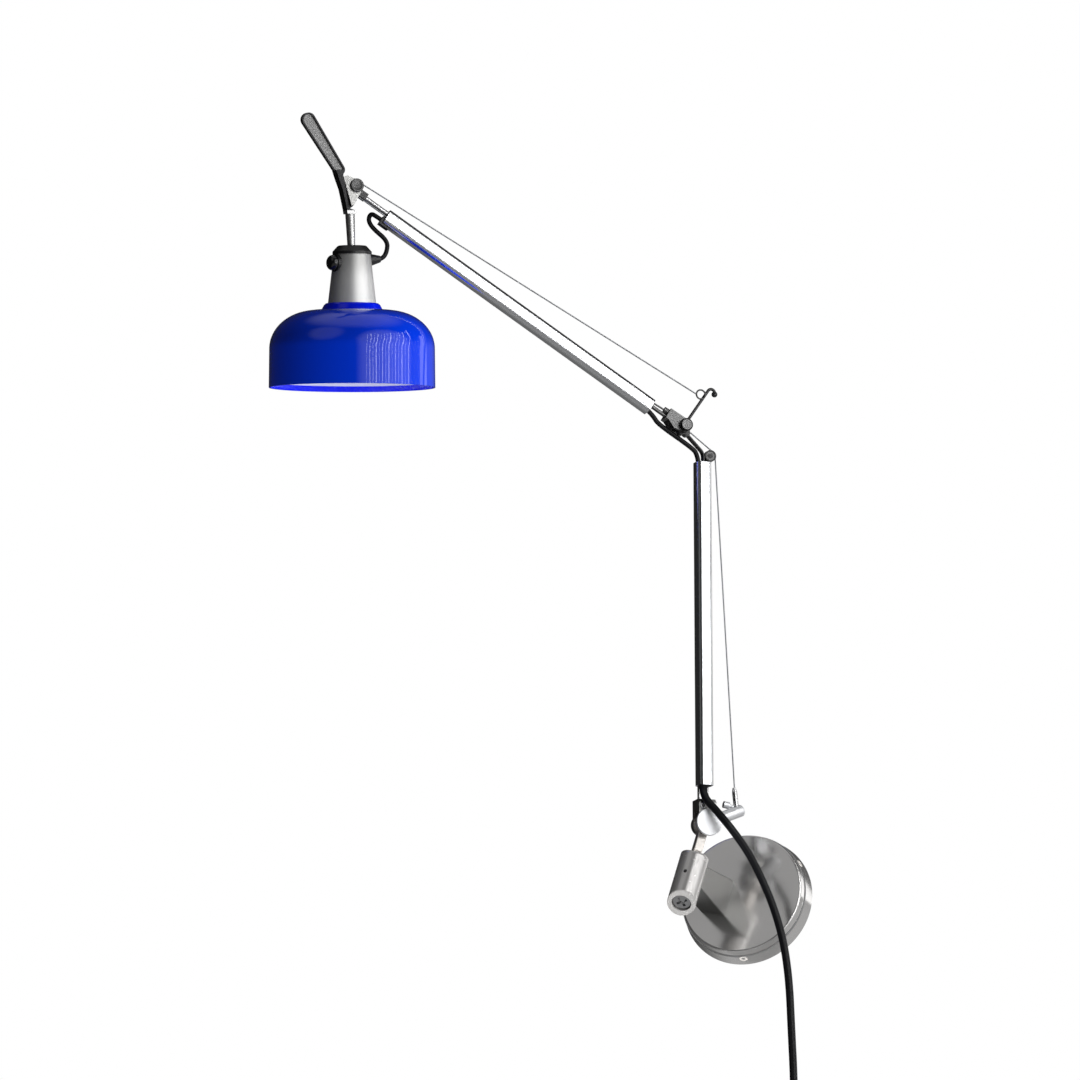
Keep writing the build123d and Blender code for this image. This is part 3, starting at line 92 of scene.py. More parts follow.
# From the base hinge up the two arms to the head. The head also turns about its clutch's axis.
BASE_AT = (SIDE * -21.5 + OUT * 98.5 + POST * 34.1) * MM
POST_FRAME = leaning(BASE_AT, 0)
LOWER = leaning(BASE_AT, 17.3)
LOWER_WHEEL_AT = (336.7, -7.3)
ELBOW_AT = at(LOWER, 362.0, 18.4)
UPPER = leaning(ELBOW_AT, 75.3)
HEAD_WHEEL_AT = (368.3, -3.0)
HEAD_AT = at(UPPER, *HEAD_WHEEL_AT)
CLUTCH = leaning(HEAD_AT, 20.4)
CLUTCH_DIP = math.radians(13.0)
HEAD_TURN = math.radians(-9.2)
ROLL_AXIS = (CLUTCH.to_3x3() @ Vector((-math.sin(CLUTCH_DIP), math.cos(CLUTCH_DIP), 0))).normalized()
ROLL = Matrix.Translation(HEAD_AT) @ Matrix.Rotation(HEAD_TURN, 4, ROLL_AXIS)
HEAD = ROLL @ Matrix.Translation(-HEAD_AT) @ CLUTCH


def axis_frame(origin, axis):
    """Frame whose Z runs along an axis."""
    z = Vector(axis).normalized()
    x = z.orthogonal().normalized()
    return frame_at(origin, x, z)


def turned_to(place, origin):
    """Frame with the X and Z of another one, at an origin of its own."""
    return frame_at(origin, place.col[0].to_3d(), place.col[2].to_3d())


LAMP_AXIS = axis_frame(at(HEAD, 0, 2.0), HEAD.to_3x3() @ Vector((-1, 0, 0)))
HEAD_HINGE = turned_to(HEAD, HEAD_AT)
LOWER_WHEEL = turned_to(LOWER, at(LOWER, *LOWER_WHEEL_AT))


# ---------------------------------------------------------------- shader parts
class Nodes:
    """Adds and links the nodes of one tree."""

    def __init__(self, tree):
        self.tree = tree

    def add(self, kind, **values):
        node = self.tree.nodes.new(kind)
        for key, value in values.items():
            setattr(node, key, value)
        return node

    def link(self, a, b):
        self.tree.links.new(a, b)


def surface_marks():
    """Group: fine uneven polish, as a roughness between two values and as a height."""
    group = bpy.data.node_groups.new("surface_marks", "ShaderNodeTree")
    face = group.interface
    for name, value in (("Scale", 120.0), ("Low", 0.1), ("High", 0.3)):
        socket = face.new_socket(name=name, in_out="INPUT", socket_type="NodeSocketFloat")
        socket.default_value = value
    face.new_socket(name="Roughness", in_out="OUTPUT", socket_type="NodeSocketFloat")
    face.new_socket(name="Height", in_out="OUTPUT", socket_type="NodeSocketFloat")
    n = Nodes(group)
    inside = n.add("NodeGroupInput")
    out = n.add("NodeGroupOutput")
    coord = n.add("ShaderNodeTexCoord")
    noise = n.add("ShaderNodeTexNoise")
    noise.inputs["Detail"].default_value = 5.0
    n.link(coord.outputs["Object"], noise.inputs["Vector"])
    n.link(inside.outputs["Scale"], noise.inputs["Scale"])
    ramp = n.add("ShaderNodeMapRange")
    ramp.inputs["From Min"].default_value = 0.3
    ramp.inputs["From Max"].default_value = 0.7
    n.link(noise.outputs["Fac"], ramp.inputs["Value"])
    n.link(inside.outputs["Low"], ramp.inputs["To Min"])
    n.link(inside.outputs["High"], ramp.inputs["To Max"])
    n.link(ramp.outputs["Result"], out.inputs["Roughness"])
    n.link(noise.outputs["Fac"], out.inputs["Height"])
    return group


def place_on_axis():
    """Group: how far along an axis a point of the model lies, and how far from it."""
    group = bpy.data.node_groups.new("place_on_axis", "ShaderNodeTree")
    face = group.interface
    for name in ("Origin", "Axis"):
        face.new_socket(name=name, in_out="INPUT", socket_type="NodeSocketVector")
    for name in ("Along", "Radius"):
        face.new_socket(name=name, in_out="OUTPUT", socket_type="NodeSocketFloat")
    n = Nodes(group)
    inside = n.add("NodeGroupInput")
    out = n.add("NodeGroupOutput")
    coord = n.add("ShaderNodeTexCoord")
    away = n.add("ShaderNodeVectorMath", operation="SUBTRACT")
    n.link(coord.outputs["Object"], away.inputs[0])
    n.link(inside.outputs["Origin"], away.inputs[1])
    dot = n.add("ShaderNodeVectorMath", operation="DOT_PRODUCT")
    cross = n.add("ShaderNodeVectorMath", operation="CROSS_PRODUCT")
    for node in (dot, cross):
        n.link(away.outputs[0], node.inputs[0])
        n.link(inside.outputs["Axis"], node.inputs[1])
    length = n.add("ShaderNodeVectorMath", operation="LENGTH")
    n.link(cross.outputs[0], length.inputs[0])
    n.link(dot.outputs["Value"], out.inputs["Along"])
    n.link(length.outputs["Value"], out.inputs["Radius"])
    return group


MARKS = surface_marks()
PLACE = place_on_axis()


def finish_of(
    name,
    color,
    metallic=0.0,
    low=0.1,
    high=0.3,
    scale=150.0,
    bump=0.0,
    coat=0.0,
    coat_rough=0.05,
    specular=0.5,
):
    """Material with the uneven polish in it, of a roughness from low to high. More scale is finer."""
    mat = bpy.data.materials.new(name)
    mat.use_nodes = True
    n = Nodes(mat.node_tree)
    shader = mat.node_tree.nodes["Principled BSDF"]
    shader.inputs["Base Color"].default_value = (*color, 1)
    shader.inputs["Metallic"].default_value = metallic
    shader.inputs["Coat Weight"].default_value = coat
    shader.inputs["Coat Roughness"].default_value = coat_rough
    shader.inputs["Specular IOR Level"].default_value = specular
    marks = n.add("ShaderNodeGroup", node_tree=MARKS)
    marks.inputs["Scale"].default_value = scale
    marks.inputs["Low"].default_value = low
    marks.inputs["High"].default_value = high
    n.link(marks.outputs["Roughness"], shader.inputs["Roughness"])
    if bump:
        grain = n.add("ShaderNodeBump")
        grain.inputs["Strength"].default_value = bump
        grain.inputs["Distance"].default_value = 0.2 * MM
        n.link(marks.outputs["Height"], grain.inputs["Height"])
        n.link(grain.outputs["Normal"], shader.inputs["Normal"])
    return mat


def banded(mat, place, which, low, high, color, soft=0.25):
    """Gives a finish another colour from low to high, Along a frame's Z or as a Radius about it."""
    n = Nodes(mat.node_tree)
    shader = mat.node_tree.nodes["Principled BSDF"]
    where = n.add("ShaderNodeGroup", node_tree=PLACE)
    where.inputs["Origin"].default_value = place.translation
    where.inputs["Axis"].default_value = place.col[2][:3]
    both = n.add("ShaderNodeMath", operation="MULTIPLY")
    for i, (edge, a, b) in enumerate(((low, 0, 1), (high, 1, 0))):
        step = n.add("ShaderNodeMapRange", interpolation_type="SMOOTHSTEP")
        step.inputs["From Min"].default_value = (edge - soft / 2) * MM
        step.inputs["From Max"].default_value = (edge + soft / 2) * MM
        step.inputs["To Min"].default_value = a
        step.inputs["To Max"].default_value = b
        n.link(where.outputs[which], step.inputs["Value"])
        n.link(step.outputs["Result"], both.inputs[i])
    mix = n.add("ShaderNodeMix", data_type="RGBA")
    n.link(both.outputs[0], mix.inputs[0])
    base = shader.inputs["Base Color"]
    if base.links:
        n.link(base.links[0].from_socket, mix.inputs[6])
    else:
        mix.inputs[6].default_value = base.default_value
    mix.inputs[7].default_value = (*color, 1)
    n.link(mix.outputs[2], base)
    return mat


# The shade's outside colour, the radius in the middle of its wall, and the place along its axis
# where its shoulder ends.
SHADE_BLUE = (0.0, 0.028, 0.52)
MID_WALL = 73.75
SHOULDER_END = 144.5

polished = finish_of("polished_aluminium", (0.72, 0.71, 0.70), 0.92, 0.13, 0.17, 60)
barrel_finish = finish_of("polished_barrel", (0.52, 0.51, 0.50), 0.62, 0.20, 0.28, 200)
tube_finish = finish_of("tube_aluminium", (0.84, 0.85, 0.87), 1.0, 0.15, 0.18, 14)
cast = finish_of("cast_aluminium", (0.40, 0.40, 0.39), 1.0, 0.30, 0.36, 60)
turned_steel = finish_of("turned_steel", (0.64, 0.64, 0.65), 1.0, 0.14, 0.22, 300)
disc_finish = finish_of("blasted_disc", (0.84, 0.85, 0.87), 0.85, 0.34, 0.44, 1500, bump=0.03)
dark_metal = finish_of("dark_metal", (0.10, 0.10, 0.10), 1.0, 0.22, 0.34, 500)
black_metal = finish_of("black_lacquer", (0.008, 0.008, 0.009), 0.0, 0.18, 0.28, 500, coat=0.3)
wire = finish_of("steel_strand", (0.30, 0.31, 0.33), 1.0, 0.25, 0.4, 2500)
black_plastic = finish_of("black_moulding", (0.010, 0.010, 0.011), 0.0, 0.28, 0.4, 1200, bump=0.03)
button_plastic = finish_of("black_button", (0.006, 0.006, 0.007), 0.0, 0.06, 0.09, 300, coat=0.4)
lead_rubber = finish_of(
    "black_lead", (0.004, 0.004, 0.005), 0.0, 0.30, 0.38, 900, bump=0.02, specular=0.22
)
shade_lacquer = finish_of(
    "blue_lacquer", SHADE_BLUE, 0.0, 0.12, 0.2, 200, coat=1.0, coat_rough=0.01, specular=0.1
)
ring_lacquer = finish_of("blue_ring", (0.0, 0.008, 0.60), 0.0, 0.12, 0.2, 200, coat=0.6, specular=0.1)
zinc = finish_of("zinc_plate", (0.60, 0.60, 0.60), 1.0, 0.3, 0.5, 200)
opal = finish_of("opal_glass", (0.90, 0.90, 0.87), 0.0, 0.15, 0.2, 100, coat=0.5)
lever_finish = finish_of("lever_casting", (0.035, 0.035, 0.036), 1.0, 0.30, 0.36, 45)
neck_finish = finish_of("satin_neck", (0.52, 0.52, 0.51), 0.80, 0.44, 0.52, 500)
cheek_finish = finish_of("cheek_casting", (0.17, 0.17, 0.17), 1.0, 0.32, 0.38, 45)
knob_finish = finish_of("knob", (0.012, 0.012, 0.012), 1.0, 0.24, 0.3, 60)
wheel_finish = finish_of("grooved_wheel", (0.012, 0.012, 0.012), 0.0, 0.24, 0.3, 60)
post_finish = finish_of("warm_steel", (0.62, 0.59, 0.56), 0.62, 0.16, 0.24, 400)
screw_finish = finish_of("set_screw", (0.86, 0.82, 0.78), 0.6, 0.12, 0.2, 300)

# A casting, a wheel or the shade has other colours at some places. On the shade each goes over the
# last: the inside bright blue, all above its rim pale, then the outside of the wall and all of the
# shoulder in the shade's blue. What stays pale is a band inside, between rim and shoulder.
banded(lever_finish, HEAD_HINGE, "Along", -0.4, 0.55, (0.17, 0.17, 0.17), 0.2)
banded(lever_finish, LAMP_AXIS, "Along", 21.0, 60.0, (0.66, 0.66, 0.66), 1.0)
# The neck cover is painted lighter over its lower part and left darker at its top: a painted
# highlight below and painted shade above, for how the light falls on it, not a change in its satin
# finish.
banded(neck_finish, LAMP_AXIS, "Along", 74.0, 140.0, (0.74, 0.74, 0.73), 22.0)
banded(knob_finish, UPPER, "Radius", -1.0, 4.6, (0.17, 0.17, 0.17), 0.6)
banded(wheel_finish, LOWER_WHEEL, "Radius", 1.5, 3.9, (0.16, 0.16, 0.16), 0.5)
banded(shade_lacquer, LAMP_AXIS, "Radius", -1.0, MID_WALL, (0.01, 0.02, 0.98), 0.2)
banded(shade_lacquer, LAMP_AXIS, "Along", 0.0, 174.0, (0.90, 0.91, 0.98), 0.5)
banded(shade_lacquer, LAMP_AXIS, "Radius", MID_WALL, 90.0, SHADE_BLUE, 0.2)
banded(shade_lacquer, LAMP_AXIS, "Along", 0.0, SHOULDER_END, SHADE_BLUE, 0.5)

FINISH = {
    "canopy": polished,
    "canopy_screws": screw_finish,
    "wall_plate": zinc,
    "stiffener_plate": zinc,
    "support_block": cast,
    "support_screws": turned_steel,
    "swivel_barrel": barrel_finish,
    "barrel_end_screw": turned_steel,
    "barrel_grub_screw": dark_metal,
    "mains_lead": lead_rubber,
    "mains_coil": lead_rubber,
    "mains_plug": black_plastic,
    "pivot_post": post_finish,
    "cable_bracket": disc_finish,
    "bracket_screw": disc_finish,
    "cable_ferrule": turned_steel,
    "base_fork": cast,
    "base_axle": turned_steel,
    "tilt_disc": disc_finish,
    "fork_screw": turned_steel,
    "arm_rods": turned_steel,
    "lower_tube": tube_finish,
    "lower_foot_plug": black_plastic,
    "lower_top_plug": black_plastic,
    "lower_spring": turned_steel,
    "elbow_rods": black_metal,
    "elbow_eye": black_metal,
    "cable_hook": black_metal,
    "pulley_arm": black_metal,
    "lower_cable": wire,
    "neck_lead": lead_rubber,
    "lower_pulley": wheel_finish,
    "elbow_cheeks": cheek_finish,
    "elbow_axle": turned_steel,
    "elbow_knob": knob_finish,
    "fork_rods": cheek_finish,
    "upper_tube": tube_finish,
    "upper_foot_plug": black_plastic,
    "upper_end_plug": black_plastic,
    "upper_spring": turned_steel,
    "head_rods": turned_steel,
    "head_yoke": black_metal,
    "head_axle": dark_metal,
    "upper_cable": wire,
    "elbow_lead": lead_rubber,
    "head_lead": lead_rubber,
    "head_pulley": black_plastic,
    "roll_bracket": cast,
    "roll_pin": turned_steel,
    "lever_stem": lever_finish,
    "holder_cap": black_plastic,
    "neck_cover": neck_finish,
    "shade": shade_lacquer,
    "lamp_holder": black_plastic,
    "shade_ring": ring_lacquer,
    "holder_nut": black_plastic,
    "lamp": opal,
    "switch_bezel": black_plastic,
    "lead_gland": black_plastic,
    "switch_button": button_plastic,
}


def dress_nodes():
    """Puts each node's finish on the part of the model that has its name."""
    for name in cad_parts:
        part = bpy.data.objects[name]
        for slot in part.material_slots:
            slot.material = FINISH[name]


# ---------------------------------------------------------------- leads and cables
def line_curve(name, points):
    """Open NURBS curve with the route's points as its control points."""
    curve = bpy.data.curves.new(name, "CURVE")
    curve.dimensions = "3D"
    spline = curve.splines.new("NURBS")
    spline.points.add(len(points) - 1)
    for control, p in zip(spline.points, points):
        control.co = (*p, 1)
    spline.order_u = 3
    spline.use_endpoint_u = True
    curve.resolution_u = 10
    thing = bpy.data.objects.new(name, curve)
    bpy.context.scene.collection.objects.link(thing)
    return thing


def tube_along(name, points, diameter, finish):
    """Mesh tube along a route, and the points that it follows."""
    guide = line_curve(name + "_guide", points)
    graph = bpy.context.evaluated_depsgraph_get()
    line = bpy.data.meshes.new_from_object(guide.evaluated_get(graph))
    path = [v.co.copy() for v in line.vertices]
    guide.data.bevel_depth = diameter / 2
    guide.data.bevel_resolution = 5
    guide.data.use_fill_caps = True
    graph.update()
    mesh = bpy.data.meshes.new_from_object(guide.evaluated_get(graph))
    mesh.name = name
    for face in mesh.polygons:
        face.use_smooth = True
    mesh.materials.clear()
    mesh.materials.append(finish)
    tube = bpy.data.objects.new(name, mesh)
    bpy.context.scene.collection.objects.link(tube)
    bpy.data.objects.remove(guide)
    return tube, path


def tube_mesh(name, path, radius, finish, sides=20):
    """Round tube along points that were read from a route, with closed ends."""
    verts, faces = [], []
    side = (path[1] - path[0]).orthogonal().normalized()
    for i, p in enumerate(path):
        way = (path[min(i + 1, len(path) - 1)] - path[max(i - 1, 0)]).normalized()
        side = (side - way * side.dot(way)).normalized()
        other = way.cross(side)
        for k in range(sides):
            a = 2 * math.pi * k / sides
            verts.append(p + (side * math.cos(a) + other * math.sin(a)) * radius)
    for i in range(len(path) - 1):
        for k in range(sides):
            m = (k + 1) % sides
            faces.append((i * sides + k, i * sides + m, (i + 1) * sides + m, (i + 1) * sides + k))
    faces.append(tuple(range(sides))[::-1])
    faces.append(tuple(range((len(path) - 1) * sides, len(path) * sides)))
    return mesh_object(name, verts, faces, finish)


def mesh_object(name, verts, faces, finish):
    """Smooth piece with its normals outwards and its corners of more than 40 degrees sharp."""
    mesh = bpy.data.meshes.new(name)
    mesh.from_pydata([tuple(v) for v in verts], [], faces)
    mesh.validate()
    work = bmesh.new()
    work.from_mesh(mesh)
    bmesh.ops.recalc_face_normals(work, faces=work.faces)
    work.to_mesh(mesh)
    work.free()
    for face in mesh.polygons:
        face.use_smooth = True
    mesh.set_sharp_from_angle(angle=math.radians(40))
    mesh.materials.append(finish)
    thing = bpy.data.objects.new(name, mesh)
    bpy.context.scene.collection.objects.link(thing)
    return thing


def turned(name, profile, place, finish, steps):
    """Piece turned about a frame's Z; the closed profile is radius and height in millimetres."""
    verts, faces, rings = [], [], []
    for r, h in profile:
        if r < 1e-6:
            rings.append([len(verts)] * steps)
            verts.append(place @ (Vector((0, 0, h)) * MM))
            continue
        rings.append([len(verts) + k for k in range(steps)])
        for k in range(steps):
            a = 2 * math.pi * k / steps
            verts.append(place @ (Vector((r * math.cos(a), r * math.sin(a), h)) * MM))
    for low, high in zip(rings, rings[1:] + rings[:1]):
        for k in range(steps):
            m = (k + 1) % steps
            quad = []
            for v in (low[k], low[m], high[m], high[k]):
                if v not in quad:
                    quad.append(v)
            if len(quad) > 2:
                faces.append(quad)
    return mesh_object(name, verts, faces, finish)


def make_canopy():
    """Cup whose wall draws in towards its face, with its three screws."""
    place = frame_at(Vector((0, 0, 0)), Vector((1, 0, 0)), OUT)
    edge = 1.9
    bend = [0.35 + 0.2 * k for k in range(6)]
    profile = [(60.0, 0.0), (59.9, 0.5), (55.95, 20.3)]
    profile += [(54.0 + edge * math.cos(a), 20.1 + edge * math.sin(a)) for a in bend]
    profile += [(54.0, 22.0), (30.0, 22.0), (0, 22.0), (0, 20.3), (53.0, 20.3), (57.8, 0.0)]
    cup = turned("tapered_canopy", profile, place, polished, 180)
    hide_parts("canopy")
    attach(cup, "wall_mount")
    socket = [(0, -1.4), (1.5, -1.4), (1.55, -0.2)]
    screw_head = [(2.1, 0.3), (3.1, 0.35), (3.7, 0.0), (3.8, -0.8), (3.8, -3.5), (0, -3.5)]
    wall_slope = math.radians(11.6)
    wall_radius, height = 58.1, 9.5
    for i, (x, z) in enumerate(((0.05284, 0.0281), (-0.00209, -0.05981), (-0.05075, 0.03171))):
        way = Vector((x, 0, z)).normalized()
        out = (way * math.cos(wall_slope) + OUT * math.sin(wall_slope)).normalized()
        spot = axis_frame(way * wall_radius * MM + OUT * height * MM, out)
        screw = turned("canopy_set_screw_%d" % (i + 1), socket + screw_head, spot, screw_finish, 36)
        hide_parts("canopy_screws")
        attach(screw, "wall_mount")


def length_of(path):
    """Length of a line of points."""
    return sum((b - a).length for a, b in zip(path, path[1:]))


def mm_points(points):
    """Places given in millimetres, in metres of the scene."""
    return [Vector(p) * MM for p in points]


# Route of the lead round the base hinge: out of the lower tube, past the fork, and down.
NECK = [
    at(LOWER, 39.5, 2.4, 2.4),
    at(LOWER, 31.0, 2.4, 2.4),
    at(LOWER, 19.8, 3.6, 13.4),
    *mm_points([(5.6, -116.2, 43.6), (14.6, -112.6, 31.2)]),
]

# Where the inner lead runs in the upper tube, across the arm's frame.
IN_TUBE = 6.6

COIL_AT = Vector((8.6, -42.0, -262.0))
TURN_POINTS = 14


def coil_point(radius, angle, front):
    """Place on the hanging coil: radius, angle clockwise from the right, and how far in front."""
    return (COIL_AT + Vector((radius * math.cos(angle), -front, -radius * math.sin(angle)))) * MM


def coil_turns():
    """Three turns that wind inwards at the back, and three and a half outwards again in front."""
    deep = 3.1
    route = []
    for k in range(3 * TURN_POINTS + 1):
        turn = k / TURN_POINTS
        route.append(coil_point(45.0 - 7.0 * turn, 2 * math.pi * turn, -deep * min(1, 3 * turn)))
    for k in range(1, 3 * TURN_POINTS + 8):
        turn = k / TURN_POINTS
        front = -deep + 2 * deep * min(1, 2 * turn)
        route.append(coil_point(24.0 + 5.0 * turn, 2 * math.pi * turn, front))
    return route


def mains_route():
    """From the base hinge down to the coil, round it and into the plug."""
    a, b = NECK[-2:]
    route = [b, b + (b - a).normalized() * 7 * MM]
    route += mm_points(
        [
            (27.0, -92.0, 11.5),
            (33.4, -76.0, -5.5),
            (41.6, -62.0, -31.0),
            (47.8, -51.0, -62.0),
            (50.6, -43.8, -98.0),
            (51.2, -40.4, -142.0),
            (53.6, -42.0, -190.0),
            (53.6, -42.0, -232.0),
        ]
    )
    route += coil_turns()
    over = [(-41.0, 14.0, 6.0), (-33.0, 31.0, 10.0), (-17.0, 39.0, 13.5), (-1.0, 33.0, 14.6)]
    over += [(7.4, 20.0, 14.6), (8.0, 9.0, 14.6), (8.0, -2.0, 14.6)]
    return route + [(COIL_AT + Vector((x, -front, z))) * MM for x, z, front in over]


def make_coil_tie():
    """Flat strap round all turns of the coil, at its lower left."""
    turn = math.radians(152)
    way = Vector((math.cos(turn), 0, -math.sin(turn)))
    along = way.cross(OUT)
    middle = COIL_AT + way * 34.6
    half_long, half_deep, half_wide, thick, steps = 14.4, 7.1, 3.0, 0.9, 48
    verts, faces = [], []
    for k in range(steps):
        a = 2 * math.pi * k / steps
        x, y = [math.copysign(math.sqrt(abs(v)), v) for v in (math.cos(a), math.sin(a))]
        for grow in (0, thick):
            spot = middle + way * (half_long + grow) * x + OUT * (half_deep + grow) * y
            verts += [(spot - along * half_wide) * MM, (spot + along * half_wide) * MM]
    for k in range(steps):
        a, b = 4 * k, 4 * ((k + 1) % steps)
        faces += [(a + i, a + j, b + j, b + i) for i, j in ((0, 1), (1, 3), (3, 2), (2, 0))]
    tie = mesh_object("coil_tie", verts, faces, black_plastic)
    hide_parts("mains_coil")
    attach(tie, "wall_mount")
    return tie


def crossing_lead(name, node, route, diameter, a, b, start, end, length):
    """Lead along a route from one body to the next, made as a tube in place of the model's node;
    prints its length.
    """
    tube, path = tube_along(name, route, diameter, lead_rubber)
    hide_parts(node)
    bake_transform(tube)
    print("lead", name, round(length_of(path), 4))


def make_leads():
    """The leads at the base hinge and the elbow, and the mains lead with its coil, tie and plug."""
    ends = NECK[1], NECK[4]
    crossing_lead("lead_at_base", "neck_lead", NECK, 0.007, "lower_arm", "swivel", *ends, 0.052)
    route = mains_route()
    tube, path = tube_along("lead_to_plug", route, 0.007, lead_rubber)
    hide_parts("mains_lead", "mains_coil")
    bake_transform(tube)
    make_coil_tie()
    print("lead_to_plug", round(length_of(path), 4))
    elbow = [at(LOWER, 329.2, 3.6), at(LOWER, 337.5, 4.6), at(LOWER, 343.5, 9.6, -0.4)]
    elbow += [at(UPPER, 20.5, 11.6, -0.4), at(UPPER, 28.0, 8.0), at(UPPER, 35.8, IN_TUBE)]
    ends = elbow[2], elbow[3]
    crossing_lead("lead_at_elbow", "elbow_lead", elbow, 0.0043, "lower_arm", "upper_arm", *ends, 0.07)


def route_path(name, points):
    """Points read from the NURBS line of a route."""
    guide = line_curve(name + "_guide", points)
    graph = bpy.context.evaluated_depsgraph_get()
    line = bpy.data.meshes.new_from_object(guide.evaluated_get(graph))
    path = [v.co.copy() for v in line.vertices]
    bpy.data.objects.remove(guide)
    return path


def make_head_lead():
    """From the gland in a tight loop to the upper tube, in two lengths that meet at the clutch."""
    gland = Vector((-63.6, -24.6, 0))
    way = (gland - Vector((-66.4, 2.0, 0))).normalized()
    near = [gland - way * 2.5, gland + way * 2.4, (-57.0, -31.4, -0.4), (-47.0, -32.6, -1.6)]
    route = [at(HEAD, *p) for p in near]
    far = [(333.0, 15.5, -8.0), (341.0, 12.5, -6.0), (342.5, IN_TUBE, -3.4)]
    far += [(337.0, IN_TUBE, -1.6), (329.5, IN_TUBE, -1.6)]
    route += [at(UPPER, *p) for p in far]
    path = route_path("head_lead_route", route)
    meeting = len(path) * 4 // 9
    for name, points, a, b in (
        ("lead_from_head", path[: meeting + 1], "head", "head_clutch"),
        ("lead_into_tube", path[meeting:], "head_clutch", "upper_arm"),
    ):
        tube = tube_mesh(name, points, 0.00205, lead_rubber)
        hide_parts("head_lead")
        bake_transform(tube)


def tangent_angle(centre, r, point, side):
    """Angle at which a straight cable from a point meets a round of radius r."""
    away = Vector(point) - Vector(centre)
    return math.atan2(away.y, away.x) + side * math.acos(r / away.length)


def cable_route(first, centre, r, last, place, z=0.0):
    """Route of a taut cable from one place, round a pulley and on to another, in a frame's plane."""
    start = tangent_angle(centre, r, first, 1)
    end = tangent_angle(centre, r, last, -1)
    turn = (end - start) % (2 * math.pi)
    steps = max(1, math.ceil(turn / 0.8))
    outside = r / math.cos(turn / steps / 2)

    def around(angle, out):
        return Vector(centre) + Vector((math.cos(angle), math.sin(angle))) * out

    points = [Vector(first), around(start, r)]
    points += [around(start + turn * (k + 0.5) / steps, outside) for k in range(steps)]
    points += [around(end, r), Vector(last)]
    return [at(place, p.x, p.y, z) for p in points]


def finer(path, step):
    """The same line with points at most a step apart, so that it can bend with a joint."""
    points = [path[0]]
    for a, b in zip(path, path[1:]):
        parts = max(1, math.ceil((b - a).length / step))
        points += [a.lerp(b, k / parts) for k in range(1, parts + 1)]
    return points


def point_along(path, distance):
    """Place at a distance from the start of a line."""
    for a, b in zip(path, path[1:]):
        step = (b - a).length
        if step >= distance:
            return a.lerp(b, distance / step)
        distance -= step
    return path[-1]


def make_cables():
    """Steel cables of the two arms, each from the body before its hinge to a pulley, and the eye."""
    cable_r, longest = 0.0006, 0.012
    foot = LOWER.inverted() @ at(POST_FRAME, 36.03, -19.02) / MM
    route = cable_route(foot.xy, LOWER_WHEEL_AT, 5.05, (357.2, 11.2), LOWER)
    path = finer(route_path("lower_cable_route", route), longest)
    cable = tube_mesh("lower_steel_cable", path, cable_r, wire, 10)
    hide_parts("lower_cable")
    point_along(path, 0.075)
    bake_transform(cable)
    eye_at = UPPER.inverted() @ at(LOWER, 392.5, 5.8, 2.1) / MM
    route = cable_route(eye_at.xy, HEAD_WHEEL_AT, 5.85, (316.0, 2.85), UPPER, 2.2)
    path = finer(route_path("upper_cable_route", route), longest)
    cable = tube_mesh("upper_steel_cable", path, cable_r, wire, 10)
    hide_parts("upper_cable")
    point_along(path, 0.095)
    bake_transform(cable)
    eye_r, wire_r = 4.2, 0.75
    round_the_wire = [k * math.pi / 6 for k in range(12)]
    section = [(eye_r + wire_r * math.cos(a), wire_r * math.sin(a)) for a in round_the_wire]
    eye = turned("cable_eye", section, turned_to(LOWER, at(LOWER, 392.5, 1.6, 2.1)), dark_metal, 36)
    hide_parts("upper_cable")
    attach(eye, "lower_arm")


# ---------------------------------------------------------------- studio
def area_light(name, place, target, size, power, mirrored=True):
    """Lamp that faces a target; one that isn't mirrored leaves no highlight of its own."""
    data = bpy.data.lights.new(name, "AREA")
    data.shape = "RECTANGLE"
    data.size, data.size_y = size
    data.energy = power
    lamp = bpy.data.objects.new(name, data)
    lamp.location = place
    lamp.rotation_euler = (Vector(target) - Vector(place)).to_track_quat("-Z", "Y").to_euler()
    lamp.visible_glossy = mirrored
    bpy.context.scene.collection.objects.link(lamp)


VIEW_RIGHT = direction(0.9527, 0.3040, 0)
VIEW_UP = direction(0.1188, -0.3722, 0.9205)
VIEW_BACK = VIEW_RIGHT.cross(VIEW_UP)
LENS = 400.0
SENSOR = 36.0
PICTURE = 1080
MM_PER_PIXEL = 0.895


def make_camera():
    """Long lens at the photograph's angle, so far off that the lamp has its size in the picture."""
    data = bpy.data.cameras.new("camera")
    data.lens = LENS
    data.sensor_width = SENSOR
    data.clip_end = 100.0
    distance = MM_PER_PIXEL * PICTURE / SENSOR * LENS * MM
    camera = bpy.data.objects.new("camera", data)
    middle = (VIEW_RIGHT * -187.0 + VIEW_UP * 325.0 + VIEW_BACK * 40.0) * MM
    m = Matrix.Identity(4)
    for i, axis in enumerate((VIEW_RIGHT, VIEW_UP, VIEW_BACK)):
        m.col[i][:3] = axis
    m.col[3][:3] = middle + VIEW_BACK * distance
    camera.matrix_world = m
    bpy.context.scene.collection.objects.link(camera)
    bpy.context.scene.camera = camera


def make_floor():
    """Pale floor, far enough below to stay out of the picture."""
    s, z = 5.0, -5.2
    corners = [(-s, -s, z), (s, -s, z), (s, s, z), (-s, s, z)]
    floor = mesh_object("floor", corners, [(0, 1, 2, 3)], None)
    mat = bpy.data.materials.new("pale_floor")
    mat.use_nodes = True
    shader = mat.node_tree.nodes["Principled BSDF"]
    shader.inputs["Base Color"].default_value = (0.86, 0.86, 0.86, 1)
    shader.inputs["Roughness"].default_value = 0.9
    floor.data.materials.clear()
    floor.data.materials.append(mat)


